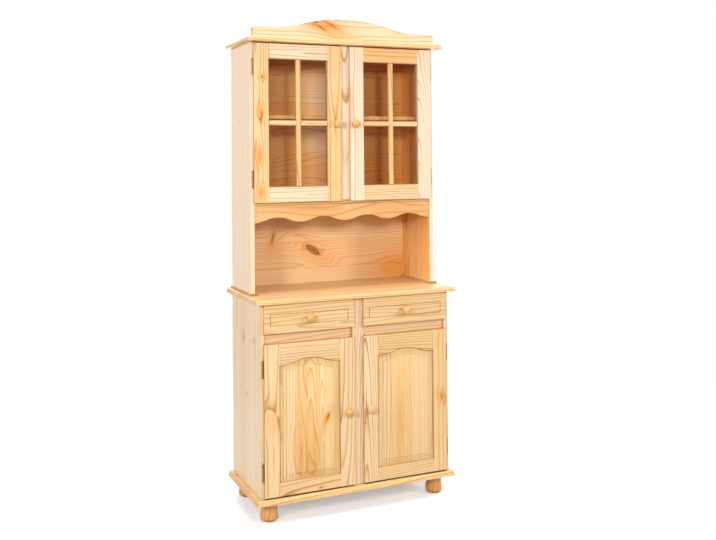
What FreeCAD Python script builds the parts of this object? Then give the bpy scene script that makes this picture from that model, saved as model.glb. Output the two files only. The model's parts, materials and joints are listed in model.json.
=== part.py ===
import FreeCAD, Part
import math
import os

os.makedirs("parts", exist_ok=True)

# A pine dresser: a low cupboard with two drawers and two panelled doors on turned feet,
# and above it a shallower cupboard with glazed doors over an open niche.
# Millimetres, +Z up, the front looks towards -Y, the floor is z = 0 and the origin is
# under the middle of the outer box. The right-hand half is modelled and then mirrored.

# Carcass
carcass_width = 800.0
side_thickness = 16.0
back_thickness = 6.0
back_rebate = 8.0
base_depth = 373.0
hutch_depth = 262.0
foot_height = 76.0
base_board_thickness = 20.0
base_side_height = 728.0
counter_thickness = 18.0
strip_height = 9.0
hutch_side_height = 977.0
top_board_thickness = 18.0

# Overhangs of the moulded boards past the carcass
base_board_side_overhang = 20.0
base_board_front_overhang = 23.0
counter_side_overhang = 24.0
counter_front_overhang = 32.0
top_board_side_overhang = 24.0
top_board_front_overhang = 53.0

# Moulded board edge: a flat at the bottom, a step in, a short riser and a quarter round
mould_flat = 7.0
mould_step = 2.0
mould_riser = 1.5

# Centre stiles, drawer rails and divider
base_stile_width = 49.0
hutch_stile_width = 45.0
stile_thickness = 18.0
rail_recess = 8.5
rail_thickness = 18.0
rail_height = 70.0
drawer_space_height = 99.0
divider_thickness = 16.0

# Doors and drawer fronts: a lip that laps the carcass edge and a core inside the opening
door_lap = 4.0
lip_thickness = 11.5
lip_gap = 0.5
core_depth = 8.0
core_clearance = 1.5
door_stile_width = 62.0
frame_arris = 2.5
tenon_length = 25.0
tenon_shoulder = 9.0
groove_width = 6.0
groove_setback = 7.0
tongue_depth = 8.0
tongue_clearance = 1.0

# Lower doors with an arched top rail and a raised panel
lower_door_rail_lap = 16.5
lower_door_floor_gap = 6.0
lower_bottom_rail = 52.5
lower_top_rail = 62.5
arch_rise = 21.0
arch_hollow_share = 0.5
panel_bevel_start = 2.0
panel_bevel_width = 23.0
panel_bevel_rise = 3.0
panel_field_step = 1.6

# Upper doors with glass behind crossed bars
upper_door_top_gap = 4.0
upper_top_rail = 61.0
upper_bottom_rail = 62.0
muntin_width = 22.0
muntin_recess = 1.0
muntin_arris = 2.5
glass_thickness = 4.0
glass_setback = 10.0
glass_bite = 7.0
glass_groove_depth = 8.0

# Drawers
drawer_front_height = 110.0
drawer_top_gap = 3.0
drawer_groove_inset = 24.0
drawer_groove_height = 44.0
drawer_groove_width = 2.5
drawer_groove_depth = 1.5
drawer_side_thickness = 12.0
drawer_box_height = 84.0
drawer_box_length = 322.0
drawer_side_clearance = 2.0
drawer_rear_setback = 3.0
drawer_rest_gap = 0.3
drawer_bottom_thickness = 4.0
drawer_bottom_lift = 8.0
drawer_bottom_groove = 5.0
runner_thickness = 14.0
runner_ledge = 16.0
guide_height = 12.0
guide_gap = 1.0

# Niche, hutch boards, shelves and their cleats
niche_height = 345.0
hutch_bottom_thickness = 16.0
apron_height = 66.5
apron_thickness = 16.0
apron_recess = 3.0
apron_wave_rise = 19.5
apron_wave_count = 4
shelf_thickness = 16.0
shelf_end_clearance = 1.0
hutch_shelf_lift = 326.0
hutch_shelf_setback = 22.0
base_shelf_lift = 284.0
base_shelf_setback = 60.0
cleat_size = 16.0
cleat_setback = 12.0
back_joint_gap = 0.5
strip_side_ledge = 8.5
strip_front_ledge = 16.0
strip_flat = 3.0
strip_round = 5.0

# Crest board, an ogee on each side of its middle
crest_end_inset = 4.0
crest_thickness = 18.0
crest_front_setback = 28.0
crest_shoulder_height = 40.5
crest_shoulder_length = 82.0
crest_rise = 44.5
crest_corner_radius = 12.0
crest_hollow_share = 0.35

# Turned feet and their bolts
foot_inset = 46.0
foot_front_inset = 45.0
foot_collar_radius = 31.0
foot_collar_length = 29.0
foot_neck_radius = 30.5
foot_neck_height = 45.0
foot_belly_radius = 34.0
foot_corner_radius = 15.0
bolt_radius = 4.0
bolt_length = 52.0
bolt_reach = 14.0

# Turned knobs
knob_length = 27.0
knob_head_radius = 17.0
knob_rim_height = 16.5
knob_shoulder_radius = 6.5
knob_neck_radius = 7.5
knob_neck_height = 7.0
knob_throat_radius = 12.5
knob_throat_height = 12.5
knob_flange_radius = 10.5
knob_flange_thickness = 2.5
knob_spigot_radius = 5.0
knob_spigot_length = 14.0
upper_knob_inset = 20.5
upper_knob_lift = 311.0
lower_knob_inset = 26.5
lower_knob_lift = 283.0
drawer_knob_lift = 51.0

# Butt hinges: cranked leaves let into the side panel and the door
hinge_length = 65.0
hinge_end_distance = 92.0
hinge_leaf = 1.5
hinge_knuckle_radius = 3.2
hinge_knuckle_count = 5
hinge_knuckle_gap = 0.3
hinge_pin_radius = 1.2
hinge_pin_clearance = 0.06
hinge_pin_side_offset = 4.0
hinge_pin_front_offset = 4.0
hinge_cap_radius = 2.4
hinge_cap_height = 1.2
hinge_side_flange = 24.0
hinge_door_flange = 20.0
screw_radius = 1.6
screw_head_radius = 3.0
screw_length = 11.0
screw_pitch = 40.0
screw_flange_share = 0.6

# Magnetic catches and their strike plates
catch_width = 38.0
catch_height = 16.0
catch_depth = 18.0
catch_gap = 0.3
catch_stile_distance = 18.0
strike_width = 26.0
strike_height = 10.0
strike_thickness = 1.5
strike_drop = 2.0

# Dowels that join the boards
dowel_radius = 4.0
dowel_length = 30.0
dowel_in_board = 12.0
dowel_depth_shares = (0.12, 0.5, 0.88)
crest_dowel_shares = (0.0, 0.4, 0.8)

# Clearance round pegs in their holes, and one overrun for cuts
peg_clearance = 0.05
overrun = 2.0

# Levels, from the floor up
base_floor = foot_height + base_board_thickness
counter_underside = base_floor + base_side_height
counter_top = counter_underside + counter_thickness
hutch_side_bottom = counter_top + strip_height
top_board_underside = hutch_side_bottom + hutch_side_height
top_board_top = top_board_underside + top_board_thickness
hutch_floor_underside = counter_top + niche_height
hutch_floor = hutch_floor_underside + hutch_bottom_thickness
rail_top = counter_underside - drawer_space_height
rail_bottom = rail_top - rail_height
base_shelf_bottom = base_floor + base_shelf_lift
hutch_shelf_bottom = hutch_floor + hutch_shelf_lift

# Planes, sideways and front to back
half_width = carcass_width / 2
inner_half = half_width - side_thickness
door_proud = lip_gap + lip_thickness
total_depth = base_depth + door_proud + knob_length
back_plane = total_depth / 2
base_front = back_plane - base_depth
hutch_front = back_plane - hutch_depth
back_face = back_plane - back_thickness
rail_front = base_front + rail_recess
rail_back = rail_front + rail_thickness
back_rail_front = back_face - rail_thickness
core_outer = inner_half - core_clearance
lip_outer = inner_half + door_lap
crest_half_length = half_width - crest_end_inset

# Directions
origin = FreeCAD.Vector(0, 0, 0)
along_x = FreeCAD.Vector(1, 0, 0)
along_y = FreeCAD.Vector(0, 1, 0)
along_z = FreeCAD.Vector(0, 0, 1)
full_turn = 360


def box(x0, x1, y0, y1, z0, z1):
    return Part.makeBox(x1 - x0, y1 - y0, z1 - z0, FreeCAD.Vector(x0, y0, z0))


def cylinder(radius, height, base, direction):
    return Part.makeCylinder(radius, height, base, direction)


def mirrored(shape):
    return shape.mirror(origin, along_x)


def both_sides(solids):
    return solids + [mirrored(solid) for solid in solids]


def fused(solids):
    whole = solids[0]
    for solid in solids[1:]:
        whole = whole.fuse(solid)
    return whole.removeSplitter()


def without(shape, cutters):
    for cutter in cutters:
        shape = shape.cut(cutter)
    return shape


def line(start, end):
    return Part.makeLine(start, end)


def arc(start, middle, end):
    return Part.Arc(start, middle, end).toShape()


def solid_from(edges, sweep):
    return Part.Face(Part.Wire(edges)).extrude(sweep)


def save(node, solids):
    if len(solids) == 1:
        shape = solids[0]
    else:
        shape = Part.makeCompound(solids)
    shape.exportStep("parts/" + node + ".step")


# Ogee curves: two arcs, level at both ends, that meet on the straight line between the ends

def ogee(x0, z0, x1, z1, hollow_share, y):
    run = x1 - x0
    rise = z1 - z0
    turn = 2 * math.atan2(abs(rise), abs(run))
    chord = math.hypot(run, rise)
    first_radius = hollow_share * chord / (2 * math.sin(turn / 2))
    last_radius = (1 - hollow_share) * chord / (2 * math.sin(turn / 2))
    step_x = math.copysign(math.sin(turn / 2), run)
    step_z = math.copysign(1 - math.cos(turn / 2), rise)
    first_middle = FreeCAD.Vector(x0 + first_radius * step_x, y, z0 + first_radius * step_z)
    last_middle = FreeCAD.Vector(x1 - last_radius * step_x, y, z1 - last_radius * step_z)
    turning_point = FreeCAD.Vector(x0 + hollow_share * run, y, z0 + hollow_share * rise)
    first = arc(FreeCAD.Vector(x0, y, z0), first_middle, turning_point)
    last = arc(turning_point, last_middle, FreeCAD.Vector(x1, y, z1))
    return [first, last]


# Moulded boards: profiles along the front and both ends, mitred at the corners

def moulded_edges(place, inner, outer, z0, thickness, flat, step, radius):
    low_step = z0 + flat
    rise_end = z0 + thickness - radius
    round_outer = outer - step
    diagonal = radius * math.sqrt(0.5)
    corner = place(round_outer, rise_end)
    shoulder = place(round_outer - radius, z0 + thickness)
    middle = place(round_outer - radius + diagonal, rise_end + diagonal)
    points = [place(inner, z0 + thickness), place(inner, z0), place(outer, z0),
              place(outer, low_step), place(round_outer, low_step), corner]
    edges = [line(a, b) for a, b in zip(points, points[1:])]
    return edges + [arc(corner, middle, shoulder), line(shoulder, points[0])]


def moulded_board(half_length, front, z0, thickness, flat, step, riser):
    radius = thickness - flat - riser
    depth = back_plane - front

    def from_back(distance, z):
        return FreeCAD.Vector(-half_length, back_plane - distance, z)

    def from_middle(distance, z):
        return FreeCAD.Vector(distance, front, z)

    front_edges = moulded_edges(from_back, 0, depth, z0, thickness, flat, step, radius)
    end_edges = moulded_edges(from_middle, -half_length, half_length, z0, thickness, flat, step,
                              radius)
    along_front = solid_from(front_edges, along_x * (2 * half_length))
    along_end = solid_from(end_edges, along_y * depth)
    return along_front.common(along_end).common(mirrored(along_end))


# Feet and knobs

def foot(x, y):
    def point(radius, z):
        return FreeCAD.Vector(radius, 0, z)

    collar = foot_height - foot_collar_length
    sole = foot_belly_radius - foot_corner_radius
    corner_rise = foot_corner_radius * math.sqrt(1 / 2)
    waist_radius = foot_belly_radius - (foot_belly_radius - foot_neck_radius) / 4
    waist_height = (foot_corner_radius + foot_neck_height) / 2
    edges = [line(point(0, foot_height), point(0, 0)),
             line(point(0, 0), point(sole, 0)),
             arc(point(sole, 0), point(sole + corner_rise, foot_corner_radius - corner_rise),
                 point(foot_belly_radius, foot_corner_radius)),
             arc(point(foot_belly_radius, foot_corner_radius), point(waist_radius, waist_height),
                 point(foot_neck_radius, foot_neck_height)),
             line(point(foot_neck_radius, foot_neck_height), point(foot_collar_radius, collar)),
             line(point(foot_collar_radius, collar), point(foot_collar_radius, foot_height)),
             line(point(foot_collar_radius, foot_height), point(0, foot_height))]
    turned = Part.Face(Part.Wire(edges)).revolve(origin, along_z, full_turn)
    turned.translate(FreeCAD.Vector(x, y, 0))
    return turned.cut(foot_bolt(x, y, peg_clearance))


def foot_places():
    x = half_width - foot_inset
    front = base_front + foot_front_inset
    back = back_plane - foot_front_inset
    return {"front_left": (-x, front), "front_right": (x, front),
            "back_left": (-x, back), "back_right": (x, back)}


def foot_bolt(x, y, clearance):
    bottom = foot_height + bolt_reach - bolt_length
    return cylinder(bolt_radius + clearance, bolt_length, FreeCAD.Vector(x, y, bottom), along_z)


def foot_bolts(clearance):
    return [foot_bolt(x, y, clearance) for x, y in foot_places().values()]


def knob_dome(point):
    dome = knob_length - knob_rim_height
    reach = knob_head_radius - knob_shoulder_radius
    crown_radius = ((reach ** 2 + dome ** 2 - knob_shoulder_radius ** 2)
                    / (2 * (dome - knob_shoulder_radius)))
    crown_centre = knob_length - crown_radius
    turn = math.atan2(knob_rim_height - crown_centre, reach)

    def on_shoulder(angle):
        return point(reach + knob_shoulder_radius * math.cos(angle),
                     knob_rim_height + knob_shoulder_radius * math.sin(angle))

    def on_crown(angle):
        return point(crown_radius * math.cos(angle), crown_centre + crown_radius * math.sin(angle))

    upright = math.pi / 2
    return [arc(on_shoulder(0), on_shoulder(turn / 2), on_shoulder(turn)),
            arc(on_crown(turn), on_crown((turn + upright) / 2), point(0, knob_length))]


def knob(x, face, z):
    def point(radius, height):
        return FreeCAD.Vector(radius, -height, 0)

    throat = point(knob_throat_radius, knob_throat_height)
    rim = point(knob_head_radius, knob_rim_height)
    rim_middle = point(knob_head_radius - (knob_head_radius - knob_throat_radius) / 4,
                       knob_throat_height + (knob_rim_height - knob_throat_height) / 4)
    points = [point(0, knob_length), point(0, -knob_spigot_length),
              point(knob_spigot_radius, -knob_spigot_length), point(knob_spigot_radius, 0),
              point(knob_flange_radius, 0), point(knob_flange_radius, knob_flange_thickness)]
    edges = [line(a, b) for a, b in zip(points, points[1:])]
    edges.append(arc(points[-1], point(knob_neck_radius, knob_neck_height), throat))
    edges.append(arc(throat, rim_middle, rim))
    edges += knob_dome(point)
    turned = Part.Face(Part.Wire(edges)).revolve(origin, along_y, full_turn)
    turned.translate(FreeCAD.Vector(x, face, z))
    return turned


def knob_hole(x, face, z):
    return cylinder(knob_spigot_radius + peg_clearance, knob_spigot_length,
                    FreeCAD.Vector(x, face, z), along_y)


# Dowels

def dowel(x, y, bottom, clearance):
    return cylinder(dowel_radius + clearance, dowel_length, FreeCAD.Vector(x, y, bottom), along_z)


def side_dowels(front, bottom, clearance):
    x = half_width - side_thickness / 2
    places = [front + (back_plane - front) * share for share in dowel_depth_shares]
    return both_sides([dowel(x, y, bottom, clearance) for y in places])


def base_board_dowels(clearance):
    return side_dowels(base_front, base_floor - dowel_in_board, clearance)


def counter_dowels(clearance):
    bottom = counter_underside + dowel_in_board - dowel_length
    return side_dowels(base_front, bottom, clearance)


def strip_dowels(clearance):
    return side_dowels(hutch_front, counter_top, clearance)


def top_board_dowels(clearance):
    bottom = top_board_underside + dowel_in_board - dowel_length
    return side_dowels(hutch_front, bottom, clearance)


def crest_dowels(clearance):
    y = hutch_front - top_board_front_overhang + crest_front_setback + crest_thickness / 2
    bottom = top_board_top - dowel_in_board
    middle, *right = [crest_half_length * share for share in crest_dowel_shares]
    pegs = both_sides([dowel(x, y, bottom, clearance) for x in right])
    return [dowel(middle, y, bottom, clearance)] + pegs


# Hinges, drawn for the right-hand side: the pin stands beside the lip, in front of the panel

def hinge_knuckles(z_middle):
    pitch = hinge_length / hinge_knuckle_count
    bottom = z_middle - hinge_length / 2
    spans = []
    for index in range(hinge_knuckle_count):
        low = bottom + index * pitch
        high = low + pitch
        if index > 0:
            low += hinge_knuckle_gap / 2
        if index < hinge_knuckle_count - 1:
            high -= hinge_knuckle_gap / 2
        spans.append((low, high))
    return spans


def hinge_pin_place(front):
    return lip_outer + hinge_pin_side_offset, front - hinge_pin_front_offset


def hinge_bore(front, z_middle):
    x, y = hinge_pin_place(front)
    bottom = FreeCAD.Vector(x, y, z_middle - hinge_length / 2)
    return cylinder(hinge_pin_radius + hinge_pin_clearance, hinge_length, bottom, along_z)


def knuckle(front, low, high):
    x, y = hinge_pin_place(front)
    return cylinder(hinge_knuckle_radius, high - low, FreeCAD.Vector(x, y, low), along_z)


def hinge_screws(place, direction, z_middle, clearance):
    screws = []
    for side in (-1, 1):
        head = FreeCAD.Vector(place.x, place.y, z_middle + side * screw_pitch / 2)
        sink = Part.makeCone(screw_head_radius + clearance, screw_radius + clearance, hinge_leaf,
                             head, direction)
        shank = cylinder(screw_radius + clearance, screw_length, head, direction)
        screws.append(fused([sink, shank]))
    return screws


def side_screws(front, z_middle, clearance):
    y = front + hinge_side_flange * screw_flange_share
    return hinge_screws(FreeCAD.Vector(inner_half, y, 0), along_x, z_middle, clearance)


def door_screws(front, z_middle, clearance):
    x = core_outer - hinge_door_flange * screw_flange_share
    return hinge_screws(FreeCAD.Vector(x, front + core_depth, 0), along_y * -1, z_middle, clearance)


def side_leaf(front, z_middle):
    x, y = hinge_pin_place(front)
    low = z_middle - hinge_length / 2
    high = z_middle + hinge_length / 2
    web_outer = x + hinge_leaf / 2
    solids = [box(inner_half, web_outer, front, front + hinge_leaf, low, high),
              box(inner_half, inner_half + hinge_leaf, front, front + hinge_side_flange, low, high)]
    for start, end in hinge_knuckles(z_middle)[0::2]:
        solids.append(box(web_outer - hinge_leaf, web_outer, y, front + hinge_leaf, start, end))
        solids.append(knuckle(front, start, end))
    cutters = [hinge_bore(front, z_middle)] + side_screws(front, z_middle, peg_clearance)
    return without(fused(solids), cutters)


def door_leaf(front, z_middle):
    x, y = hinge_pin_place(front)
    low = z_middle - hinge_length / 2
    high = z_middle + hinge_length / 2
    lip_back = front - lip_gap
    lip_seat = lip_back - hinge_leaf
    core_seat = core_outer - hinge_leaf
    back = front + core_depth
    solids = [box(core_seat, lip_outer, lip_seat, lip_back, low, high),
              box(core_seat, core_outer, lip_seat, back, low, high),
              box(core_outer - hinge_door_flange, core_outer, back - hinge_leaf, back, low, high)]
    for start, end in hinge_knuckles(z_middle)[1::2]:
        solids.append(box(core_seat, x, lip_seat, lip_back, start, end))
        solids.append(knuckle(front, start, end))
    cutters = [hinge_bore(front, z_middle)] + door_screws(front, z_middle, peg_clearance)
    return without(fused(solids), cutters)


def hinge_pin(front, z_middle):
    x, y = hinge_pin_place(front)
    low = z_middle - hinge_length / 2
    high = z_middle + hinge_length / 2
    shaft = cylinder(hinge_pin_radius, hinge_length, FreeCAD.Vector(x, y, low), along_z)
    lower_cap = cylinder(hinge_cap_radius, hinge_cap_height,
                         FreeCAD.Vector(x, y, low - hinge_cap_height), along_z)
    upper_cap = cylinder(hinge_cap_radius, hinge_cap_height, FreeCAD.Vector(x, y, high), along_z)
    return fused([shaft, lower_cap, upper_cap])


# Doors: the outline of the lip and the core, shared by their members

class Door:
    def __init__(self, front, stile_half, bottom, top, core_bottom):
        self.front = front
        self.face = front - door_proud
        self.lip_back = front - lip_gap
        self.back = front + core_depth
        self.inner = stile_half - door_lap
        self.core_inner = stile_half + core_clearance
        self.bottom = bottom
        self.top = top
        self.core_bottom = core_bottom
        self.window_inner = self.inner + door_stile_width
        self.window_outer = lip_outer - door_stile_width
        self.hinges = [bottom + hinge_end_distance, top - hinge_end_distance]
        self.groove_front = self.face + groove_setback
        self.groove_back = self.groove_front + groove_width

    def envelope(self):
        lip = box(self.inner, lip_outer, self.face, self.lip_back, self.bottom, self.top)
        core = box(self.core_inner, core_outer, self.lip_back, self.back, self.core_bottom,
                   self.top)
        return fused([lip, core])

    def member(self, x0, x1, z0, z1):
        return box(x0, x1, self.face, self.back, z0, z1).common(self.envelope())

    def tenons(self, z0, z1):
        low = z0 + tenon_shoulder
        high = z1 - tenon_shoulder
        return [box(self.window_inner - tenon_length, self.window_inner, self.groove_front,
                    self.groove_back, low, high),
                box(self.window_outer, self.window_outer + tenon_length, self.groove_front,
                    self.groove_back, low, high)]

    def rail(self, z0, z1, cutters):
        bar = self.member(self.window_inner, self.window_outer, z0, z1)
        return fused([without(bar, cutters)] + self.tenons(z0, z1))

    def stiles(self, cutters):
        pair = [self.member(self.inner, self.window_inner, self.bottom, self.top),
                self.member(self.window_outer, lip_outer, self.bottom, self.top)]
        hinge_cutters = []
        for z_middle in self.hinges:
            hinge_cutters.append(door_leaf(self.front, z_middle))
            hinge_cutters += door_screws(self.front, z_middle, peg_clearance)
        return [without(stile, cutters + hinge_cutters) for stile in pair]

    def strike(self, ceiling):
        middle = ceiling - catch_height / 2 - strike_drop
        x = self.core_inner + catch_stile_distance + catch_width / 2
        return box(x - strike_width / 2, x + strike_width / 2, self.back,
                   self.back + strike_thickness, middle - strike_height / 2,
                   middle + strike_height / 2)

    def catch(self, ceiling):
        x = self.core_inner + catch_stile_distance
        y = self.back + strike_thickness + catch_gap
        return box(x, x + catch_width, y, y + catch_depth, ceiling - catch_height, ceiling)

    def fittings(self, ceiling):
        solids = [door_leaf(self.front, z_middle) for z_middle in self.hinges]
        for z_middle in self.hinges:
            solids += door_screws(self.front, z_middle, 0)
        return solids + [self.strike(ceiling)]


def lower_door():
    bottom = base_floor + lower_door_floor_gap
    top = rail_bottom + lower_door_rail_lap
    return Door(base_front, base_stile_width / 2, bottom, top, bottom)


def upper_door():
    top = top_board_underside - upper_door_top_gap
    return Door(hutch_front, hutch_stile_width / 2, hutch_floor - door_lap, top,
                hutch_floor + core_clearance)


# Lower doors: outlines that follow the arched opening at a given inset

def arched_wire(door, inset, y):
    left = door.window_inner
    right = door.window_outer
    middle = (left + right) / 2
    peak = door.top - lower_top_rail
    spring = peak - arch_rise
    low = door.bottom + lower_bottom_rail + inset
    turn = 2 * math.atan2(arch_rise, middle - left)
    radius_sum = math.hypot(middle - left, arch_rise) / (2 * math.sin(turn / 2))
    hollow = radius_sum * arch_hollow_share + inset
    crown = radius_sum * (1 - arch_hollow_share) - inset
    hollow_z = spring + hollow - inset
    crown_z = peak - crown - inset
    start = math.asin(inset / hollow)
    half = (start + turn) / 2

    def on_hollow(angle, side):
        x = left + hollow * math.sin(angle)
        if side > 0:
            x = left + right - x
        return FreeCAD.Vector(x, y, hollow_z - hollow * math.cos(angle))

    turn_left = on_hollow(turn, -1)
    turn_right = on_hollow(turn, 1)
    crown_top = FreeCAD.Vector(middle, y, crown_z + crown)
    low_left = FreeCAD.Vector(left + inset, y, low)
    low_right = FreeCAD.Vector(right - inset, y, low)
    edges = [line(low_left, low_right),
             line(low_right, on_hollow(start, 1)),
             arc(on_hollow(start, 1), on_hollow(half, 1), turn_right),
             arc(turn_right, crown_top, turn_left),
             arc(turn_left, on_hollow(half, -1), on_hollow(start, -1)),
             line(on_hollow(start, -1), low_left)]
    return Part.Wire(edges)


def arched_prism(door, inset, y0, y1):
    return Part.Face(arched_wire(door, inset, y0)).extrude(along_y * (y1 - y0))


def arched_taper(door, inset0, y0, inset1, y1):
    return Part.makeLoft([arched_wire(door, inset0, y0), arched_wire(door, inset1, y1)], True, True)


def lower_frame_cutters(door):
    window = arched_prism(door, 0, door.face - overrun, door.back + overrun)
    groove = arched_prism(door, -tongue_depth, door.groove_front, door.groove_back)
    arris = arched_taper(door, -frame_arris, door.face, 0, door.face + frame_arris)
    return [window, groove, arris]


def raised_panel(door):
    bevel_front = door.groove_front - panel_bevel_rise
    bevel_end = panel_bevel_start + panel_bevel_width
    tongue = arched_prism(door, tongue_clearance - tongue_depth, door.groove_front,
                          door.groove_back)
    bevel = arched_taper(door, panel_bevel_start, door.groove_front, bevel_end, bevel_front)
    field = arched_prism(door, bevel_end, bevel_front - panel_field_step, bevel_front)
    return fused([tongue, bevel, field])


def lower_knob_place(door):
    return door.inner + lower_knob_inset, door.face, door.bottom + lower_knob_lift


def lower_door_pieces():
    door = lower_door()
    cutters = lower_frame_cutters(door)
    spring = door.top - lower_top_rail - arch_rise
    rail_head = door.bottom + lower_bottom_rail
    x, face, z = lower_knob_place(door)
    return {"stiles": door.stiles(cutters + [knob_hole(x, face, z)]
                                  + door.tenons(spring, door.top)
                                  + door.tenons(door.bottom, rail_head)),
            "top_rail": [door.rail(spring, door.top, cutters)],
            "bottom_rail": [door.rail(door.bottom, rail_head, cutters)],
            "panel": [raised_panel(door)],
            "knob": [knob(x, face, z)],
            "fittings": door.fittings(rail_bottom)}


# Upper doors

def window_wire(door, inset, y):
    x0 = door.window_inner + inset
    x1 = door.window_outer - inset
    z0 = door.bottom + upper_bottom_rail + inset
    z1 = door.top - upper_top_rail - inset
    corners = [FreeCAD.Vector(x0, y, z0), FreeCAD.Vector(x1, y, z0), FreeCAD.Vector(x1, y, z1),
               FreeCAD.Vector(x0, y, z1), FreeCAD.Vector(x0, y, z0)]
    return Part.makePolygon(corners)


def window_prism(door, inset, y0, y1):
    return Part.Face(window_wire(door, inset, y0)).extrude(along_y * (y1 - y0))


def upper_frame_cutters(door):
    glass_front = door.face + glass_setback
    groove = window_prism(door, -glass_groove_depth, glass_front, glass_front + glass_thickness)
    arris = Part.makeLoft([window_wire(door, -frame_arris, door.face),
                           window_wire(door, 0, door.face + frame_arris)], True, True)
    return [groove, arris]


def muntin_section(door, place, middle):
    half = muntin_width / 2
    front = door.face + muntin_recess
    back = door.face + glass_setback
    points = [place(middle - half, back), place(middle - half, front + muntin_arris),
              place(middle - half + muntin_arris, front), place(middle + half - muntin_arris, front),
              place(middle + half, front + muntin_arris), place(middle + half, back)]
    return [line(a, b) for a, b in zip(points, points[1:] + points[:1])]


def muntins(door):
    left = door.window_inner
    right = door.window_outer
    low = door.bottom + upper_bottom_rail
    high = door.top - upper_top_rail

    def upright(x, y):
        return FreeCAD.Vector(x, y, low)

    def level(z, y):
        return FreeCAD.Vector(left, y, z)

    standing = solid_from(muntin_section(door, upright, (left + right) / 2), along_z * (high - low))
    crossing = solid_from(muntin_section(door, level, (low + high) / 2), along_x * (right - left))
    return [standing] + crossing.cut(standing).Solids


def glass_pane(door):
    front = door.face + glass_setback
    return window_prism(door, -glass_bite, front, front + glass_thickness)


def upper_knob_place(door):
    return door.inner + upper_knob_inset, door.face, door.bottom + upper_knob_lift


def upper_door_pieces():
    door = upper_door()
    cutters = upper_frame_cutters(door)
    low = door.bottom + upper_bottom_rail
    high = door.top - upper_top_rail
    x, face, z = upper_knob_place(door)
    return {"stiles": door.stiles(cutters + [knob_hole(x, face, z)]
                                  + door.tenons(door.bottom, low)
                                  + door.tenons(high, door.top)),
            "rails": [door.rail(door.bottom, low, cutters), door.rail(high, door.top, cutters)],
            "muntins": muntins(door),
            "glass": [glass_pane(door)],
            "knob": [knob(x, face, z)],
            "fittings": door.fittings(top_board_underside)}


# Drawers

def drawer_levels():
    top = counter_underside - drawer_top_gap
    return top - drawer_front_height, top


def drawer_planes():
    left = base_stile_width / 2 + drawer_side_clearance
    right = inner_half - drawer_side_clearance
    back = base_front + core_depth + drawer_box_length
    bottom = rail_top + drawer_rest_gap
    return left, right, back, bottom


def drawer_bottom_board():
    left, right, back, bottom = drawer_planes()
    reach = drawer_side_thickness - drawer_bottom_groove
    z0 = bottom + drawer_bottom_lift
    return box(left + reach, right - reach, base_front + core_depth - drawer_bottom_groove, back,
               z0, z0 + drawer_bottom_thickness)


def drawer_front():
    low, high = drawer_levels()
    face = base_front - door_proud
    inner = base_stile_width / 2 - door_lap
    lip = box(inner, lip_outer, face, base_front - lip_gap, low, high)
    core = box(base_stile_width / 2 + core_clearance, core_outer, base_front - lip_gap,
               base_front + core_depth, low, high)
    x, y, z = drawer_knob_place()
    groove_floor = face + drawer_groove_depth
    half = drawer_groove_height / 2
    ring_outer = box(inner + drawer_groove_inset, lip_outer - drawer_groove_inset, face,
                     groove_floor, z - half, z + half)
    island = drawer_groove_inset + drawer_groove_width
    half -= drawer_groove_width
    ring_inner = box(inner + island, lip_outer - island, face, groove_floor, z - half, z + half)
    cutters = [ring_outer.cut(ring_inner), drawer_bottom_board(), knob_hole(x, y, z)]
    return without(fused([lip, core]), cutters)


def drawer_knob_place():
    low, high = drawer_levels()
    middle = (base_stile_width / 2 - door_lap + lip_outer) / 2
    return middle, base_front - door_proud, low + drawer_knob_lift


def drawer_box():
    left, right, back, bottom = drawer_planes()
    front = base_front + core_depth
    top = bottom + drawer_box_height
    floor_top = bottom + drawer_bottom_lift + drawer_bottom_thickness
    sides = [box(left, left + drawer_side_thickness, front, back, bottom, top),
             box(right - drawer_side_thickness, right, front, back, bottom, top)]
    rear_back = back - drawer_rear_setback
    rear = box(left + drawer_side_thickness, right - drawer_side_thickness,
               rear_back - drawer_side_thickness, rear_back, floor_top, top)
    return [without(side, [drawer_bottom_board()]) for side in sides] + [rear]


def drawer_pieces():
    x, face, z = drawer_knob_place()
    return {"front": [drawer_front()], "box": drawer_box(), "bottom": [drawer_bottom_board()],
            "knob": [knob(x, face, z)]}


# Low cupboard

def base_side():
    panel = box(inner_half, half_width, base_front, back_plane, base_floor, counter_underside)
    rebate = box(inner_half, inner_half + back_rebate, back_face, back_plane, base_floor,
                 counter_underside)
    cutters = [rebate] + base_board_dowels(peg_clearance) + counter_dowels(peg_clearance)
    for z_middle in lower_door().hinges:
        cutters.append(side_leaf(base_front, z_middle))
        cutters += side_screws(base_front, z_middle, peg_clearance)
    return without(panel, cutters)


def base_board():
    board = moulded_board(half_width + base_board_side_overhang,
                          base_front - base_board_front_overhang, foot_height,
                          base_board_thickness, mould_flat, mould_step, mould_riser)
    return without(board, foot_bolts(peg_clearance) + base_board_dowels(peg_clearance))


def counter_board():
    board = moulded_board(half_width + counter_side_overhang, base_front - counter_front_overhang,
                          counter_underside, counter_thickness, mould_flat, mould_step,
                          mould_riser)
    return without(board, counter_dowels(peg_clearance))


def base_back():
    reach = inner_half + back_rebate
    return box(-reach, reach, back_face, back_plane, base_floor, counter_underside)


def base_stile():
    half = base_stile_width / 2
    return box(-half, half, base_front, base_front + stile_thickness, base_floor,
               counter_underside)


def drawer_rails():
    front = box(-inner_half, inner_half, rail_front, rail_back, rail_bottom, rail_top)
    back = box(-inner_half, inner_half, back_rail_front, back_face, rail_bottom, rail_top)
    return [front.cut(base_stile()), back]


def drawer_divider():
    half = divider_thickness / 2
    board = box(-half, half, base_front + stile_thickness, back_face, rail_top - runner_thickness,
                counter_underside)
    return without(board, drawer_rails())


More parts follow.
